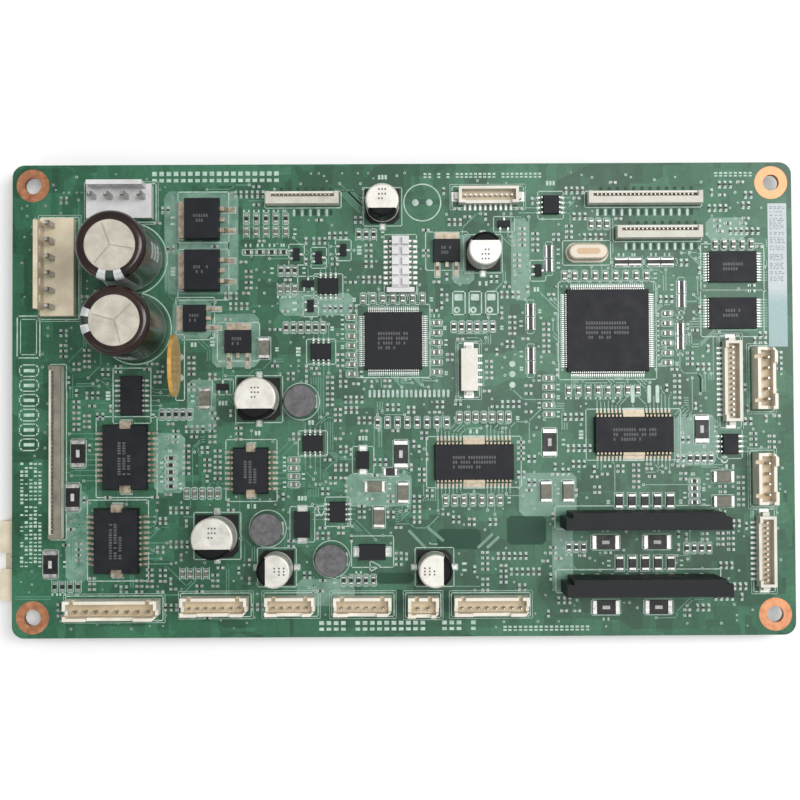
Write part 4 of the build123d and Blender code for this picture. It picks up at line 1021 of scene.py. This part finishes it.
# ---------------------------------------------------------------- markings on the parts

marks, pale_marks, can_marks, stripes, stripe_marks = (patch() for _ in range(5))
CAN_TURNS = [-90, -90, 180, -90, 0, 90]  # which way each small can's dark segment faces
CAN_SHOULDER = 0.45
SLEEVE_SHOULDER = 1.45
SLEEVE_LID = 5.82  # radius where the sleeve ends on the can's lid
UNDER = 0.08  # how far a marking's back lies inside the wall it covers


def swept(store, x, y, angles, profile):
    """A closed profile of radius and height points, turned about an upright axis."""
    first, count = len(store["verts"]), len(profile)
    for a in angles:
        store["verts"] += [(x + r * math.cos(a), y + r * math.sin(a), z) for r, z in profile]
    for k in range(len(angles) - 1):
        a, b = first + count * k, first + count * (k + 1)
        for n in range(count):
            m = (n + 1) % count
            store["faces"].append([a + n, b + n, b + m, a + m])
    last = first + count * (len(angles) - 1)
    store["faces"].append([first + n for n in range(count)])
    store["faces"].append([last + n for n in reversed(range(count))])


def band(store, x, y, radius, angles, low, high):
    """A thin curved plate lying on a round wall."""
    back, front = radius - 0.1, radius + 0.02
    swept(store, x, y, angles, [(back, low), (front, low), (front, high), (back, high)])


def over_rim(radius, shoulder, low, top, inner, lift):
    """A thin profile that runs up a wall, over its rounded shoulder and in along the top."""
    middle_r, middle_z = radius - shoulder, top - shoulder

    def arc(bend):
        turns = [math.radians(15 * k) for k in range(7)]
        return [(middle_r + bend * math.cos(t), middle_z + bend * math.sin(t)) for t in turns]

    front, back = arc(shoulder + lift), arc(shoulder - UNDER)
    foot = [(radius - UNDER, low), (radius + lift, low)]
    return foot + front + [(inner, top + lift), (inner, top - UNDER)] + back[::-1]


def fan(turn, half, count):
    """Angles spread evenly to both sides of a heading; both are given in degrees."""
    heading, half = math.radians(turn), math.radians(half)
    return [heading + half * t for t in np.linspace(-1, 1, count)]


def chip_print(box, rows, share):
    """Faint rows of small neutral bars on a chip's top face."""
    sx, sy = size(box)
    x, y = centre(box)
    along = sx >= sy * 0.8
    length = (sx if along else sy) * share
    pitch, line = 0.62, 1.15
    for k in range(rows):
        offset = (k - (rows - 1) / 2) * line
        for n in range(int(length / pitch)):
            if random.random() < 0.16 or (k == rows - 1 and n * pitch > length * 0.6):
                continue
            u = (n + 0.5) * pitch - length / 2
            cx, cy = (x + u, y - offset) if along else (x + offset, y + u)
            hx, hy = (0.20, 0.36) if along else (0.36, 0.20)
            bar(marks, cx, cy, hx, hy, box[5] - PRINT_IN, box[5] + PRINT_OUT)


for rows, share, nodes in (
    (4, 0.55, ("main_processor_body", "motion_controller_body")),
    (3, 0.55, ("stepper_driver_bodies", "motor_driver_bodies")),
    (2, 0.45, ("memory_chip_bodies", "power_transistor_bodies", "power_inductor_cores")),
):
    for node in nodes:
        for box in BOXES[node]:
            chip_print(box, rows, share)
for box in BOXES["chip_resistor_bodies"]:
    if max(size(box)) > 4:
        x, y = centre(box)
        hx, hy = (0.9, 0.42) if size(box)[0] > size(box)[1] else (0.42, 0.9)
        bar(pale_marks, x, y, hx, hy, box[5] - PRINT_IN, box[5] + PRINT_OUT)

for box, turn in zip(BOXES["smd_capacitor_cans"], CAN_TURNS):
    x, y = centre(box)
    radius = size(box)[0] / 2
    heading, angles = math.radians(turn), fan(turn, 58, 25)
    flat = radius - 0.42
    top = [(x + flat * math.cos(a), y + flat * math.sin(a)) for a in angles]
    prism(can_marks, top, box[5] - 0.02, box[5] + 0.015)
    wall = over_rim(radius, CAN_SHOULDER, box[2] + 2.2, box[5], radius - 0.6, 0.015)
    swept(can_marks, x, y, angles, wall)
    for row in range(3):
        for n in range(3 if row else 2):
            u, v = -0.3 - row * 1.1, (n - 1) * 0.75
            cx = x + u * math.cos(heading) - v * math.sin(heading)
            cy = y + u * math.sin(heading) + v * math.cos(heading)
            bar(marks, cx, cy, 0.2, 0.2, box[5] - 0.02, box[5] + PRINT_OUT)

for node, turn in (("bulk_capacitor_1_sleeve", -90), ("bulk_capacitor_2_sleeve", 180)):
    box = BOXES[node][0]
    x, y = centre(box)
    radius = size(box)[0] / 2
    wall = over_rim(radius, SLEEVE_SHOULDER, box[2] + 0.4, box[5], SLEEVE_LID, 0.01)
    swept(stripes, x, y, fan(turn, 24, 17), wall)
    minus = over_rim(radius, SLEEVE_SHOULDER, box[5] - 2.2, box[5], SLEEVE_LID, 0.02)
    swept(stripe_marks, x, y, fan(turn, 8, 7), minus)
    for z in (6.0, 9.5, 13.0):
        band(stripes, x, y, radius, fan(turn + 90, 14, 9), box[2] + z, box[2] + z + 2.0)

can = BOXES["crystal_can"][0]
rounded(field, can[0] + 2.4, centre(can)[1] - 0.75, can[3] - 2.4, centre(can)[1] + 0.75, 0.5,
        can[5] - PRINT_IN, can[5] + PRINT_OUT)

label = BOXES["identification_label"][0]
LABEL_OUT = 0.01
for k in range(46):
    y = label[4] - 0.8 - k * 0.42
    if random.random() < 0.25:
        continue
    x = label[0] + 0.5
    while x < label[3] - 1.0:
        wide = random.uniform(0.2, 0.8)
        slab(blocks, x, y - 0.12, x + wide, y + 0.12, label[5] - PRINT_IN, label[5] + LABEL_OUT)
        x += wide + random.uniform(0.15, 0.6)

piece(pads, "surface_pads", PAD)
piece(fillets, "solder_fillets", SOLDER)
piece(silk, "board_printing", SILK)
piece(traces, "masked_traces", TRACE)
piece(pours, "pale_copper_areas", POUR)
piece(via_rings, "via_rings", PAD)
piece(via_hole_shade_discs, "via_hole_shade_discs", HOLE_SHADE)
piece(tiny_bodies, "tiny_resistor_bodies", MATERIALS["resistor_film"])
piece(tiny_caps, "tiny_capacitor_bodies", MATERIALS["capacitor_ceramic"])
piece(tiny_ends, "tiny_part_ends", END_TIN)
piece(marks, "chip_print_bars", PRINT_GREY)
piece(pale_marks, "shunt_print_bars", PRINT_PALE)
piece(can_marks, "can_polarity_marks", PRINT_BLACK)
piece(stripes, "sleeve_stripes", STRIPE)
piece(stripe_marks, "sleeve_minus_marks", MINUS)
piece(blocks, "label_print_bars", LABEL_GREY)
# Bare laminate areas, and painted shadows of the contact tails by the ribbon sockets
piece(bare_and_shadow_gaps, "bare_laminate_and_painted_shadow_gaps", BARE_AND_SHADOW)
piece(field, "crystal_top_field", CRYSTAL_FIELD)

# ---------------------------------------------------------------- floor, light and camera

floor_z = CAD_BOX[0].z - 0.0002
FLOOR_HALF = 6.0
corners = [(-FLOOR_HALF, -FLOOR_HALF), (FLOOR_HALF, -FLOOR_HALF), (FLOOR_HALF, FLOOR_HALF),
           (-FLOOR_HALF, FLOOR_HALF)]
floor_mesh = bpy.data.meshes.new("floor")
floor_mesh.from_pydata([(x, y, floor_z) for x, y in corners], [], [[0, 1, 2, 3]])
floor = bpy.data.objects.new("floor", floor_mesh)
bpy.context.scene.collection.objects.link(floor)
floor_paint, _, floor_shader, _ = nodes_of("floor_white")
floor_shader.inputs["Base Color"].default_value = (0.94, 0.94, 0.94, 1.0)
floor_shader.inputs["Roughness"].default_value = 0.9
floor_mesh.materials.append(floor_paint)

world = bpy.data.worlds.new("studio")
bpy.context.scene.world = world
world.use_nodes = True
background = world.node_tree.nodes["Background"]
background.inputs["Color"].default_value = (1.0, 1.0, 1.0, 1.0)
background.inputs["Strength"].default_value = 0.5


def softbox(name, at, aim, wide, tall, power):
    """A rectangular area light; lengths in metres, power in watts."""
    data = bpy.data.lights.new(name, "AREA")
    data.shape = "RECTANGLE"
    data.size, data.size_y = wide, tall
    data.energy = power
    lamp = bpy.data.objects.new(name, data)
    lamp.location = at
    lamp.rotation_euler = (Vector(aim) - Vector(at)).to_track_quat("-Z", "Y").to_euler()
    bpy.context.scene.collection.objects.link(lamp)


softbox("key", (0.34, 0.12, 0.9), (0.03, 0.0, 0.0), 0.36, 0.8, 7.6)
softbox("fill", (-0.6, -0.6, 0.9), (0.0, 0.0, 0.0), 0.6, 0.6, 1.0)
bpy.context.scene.view_settings.view_transform = "Standard"

camera_data = bpy.data.cameras.new("camera")
camera_data.lens = 60.0
camera_data.sensor_width = 36.0
camera_data.clip_start = 0.01
camera = bpy.data.objects.new("camera", camera_data)
camera.location = (-0.0015, -0.0077, 0.3257)
camera.rotation_euler = (math.radians(1.333), math.radians(-0.123), math.radians(-0.277))
bpy.context.scene.collection.objects.link(camera)
bpy.context.scene.camera = camera
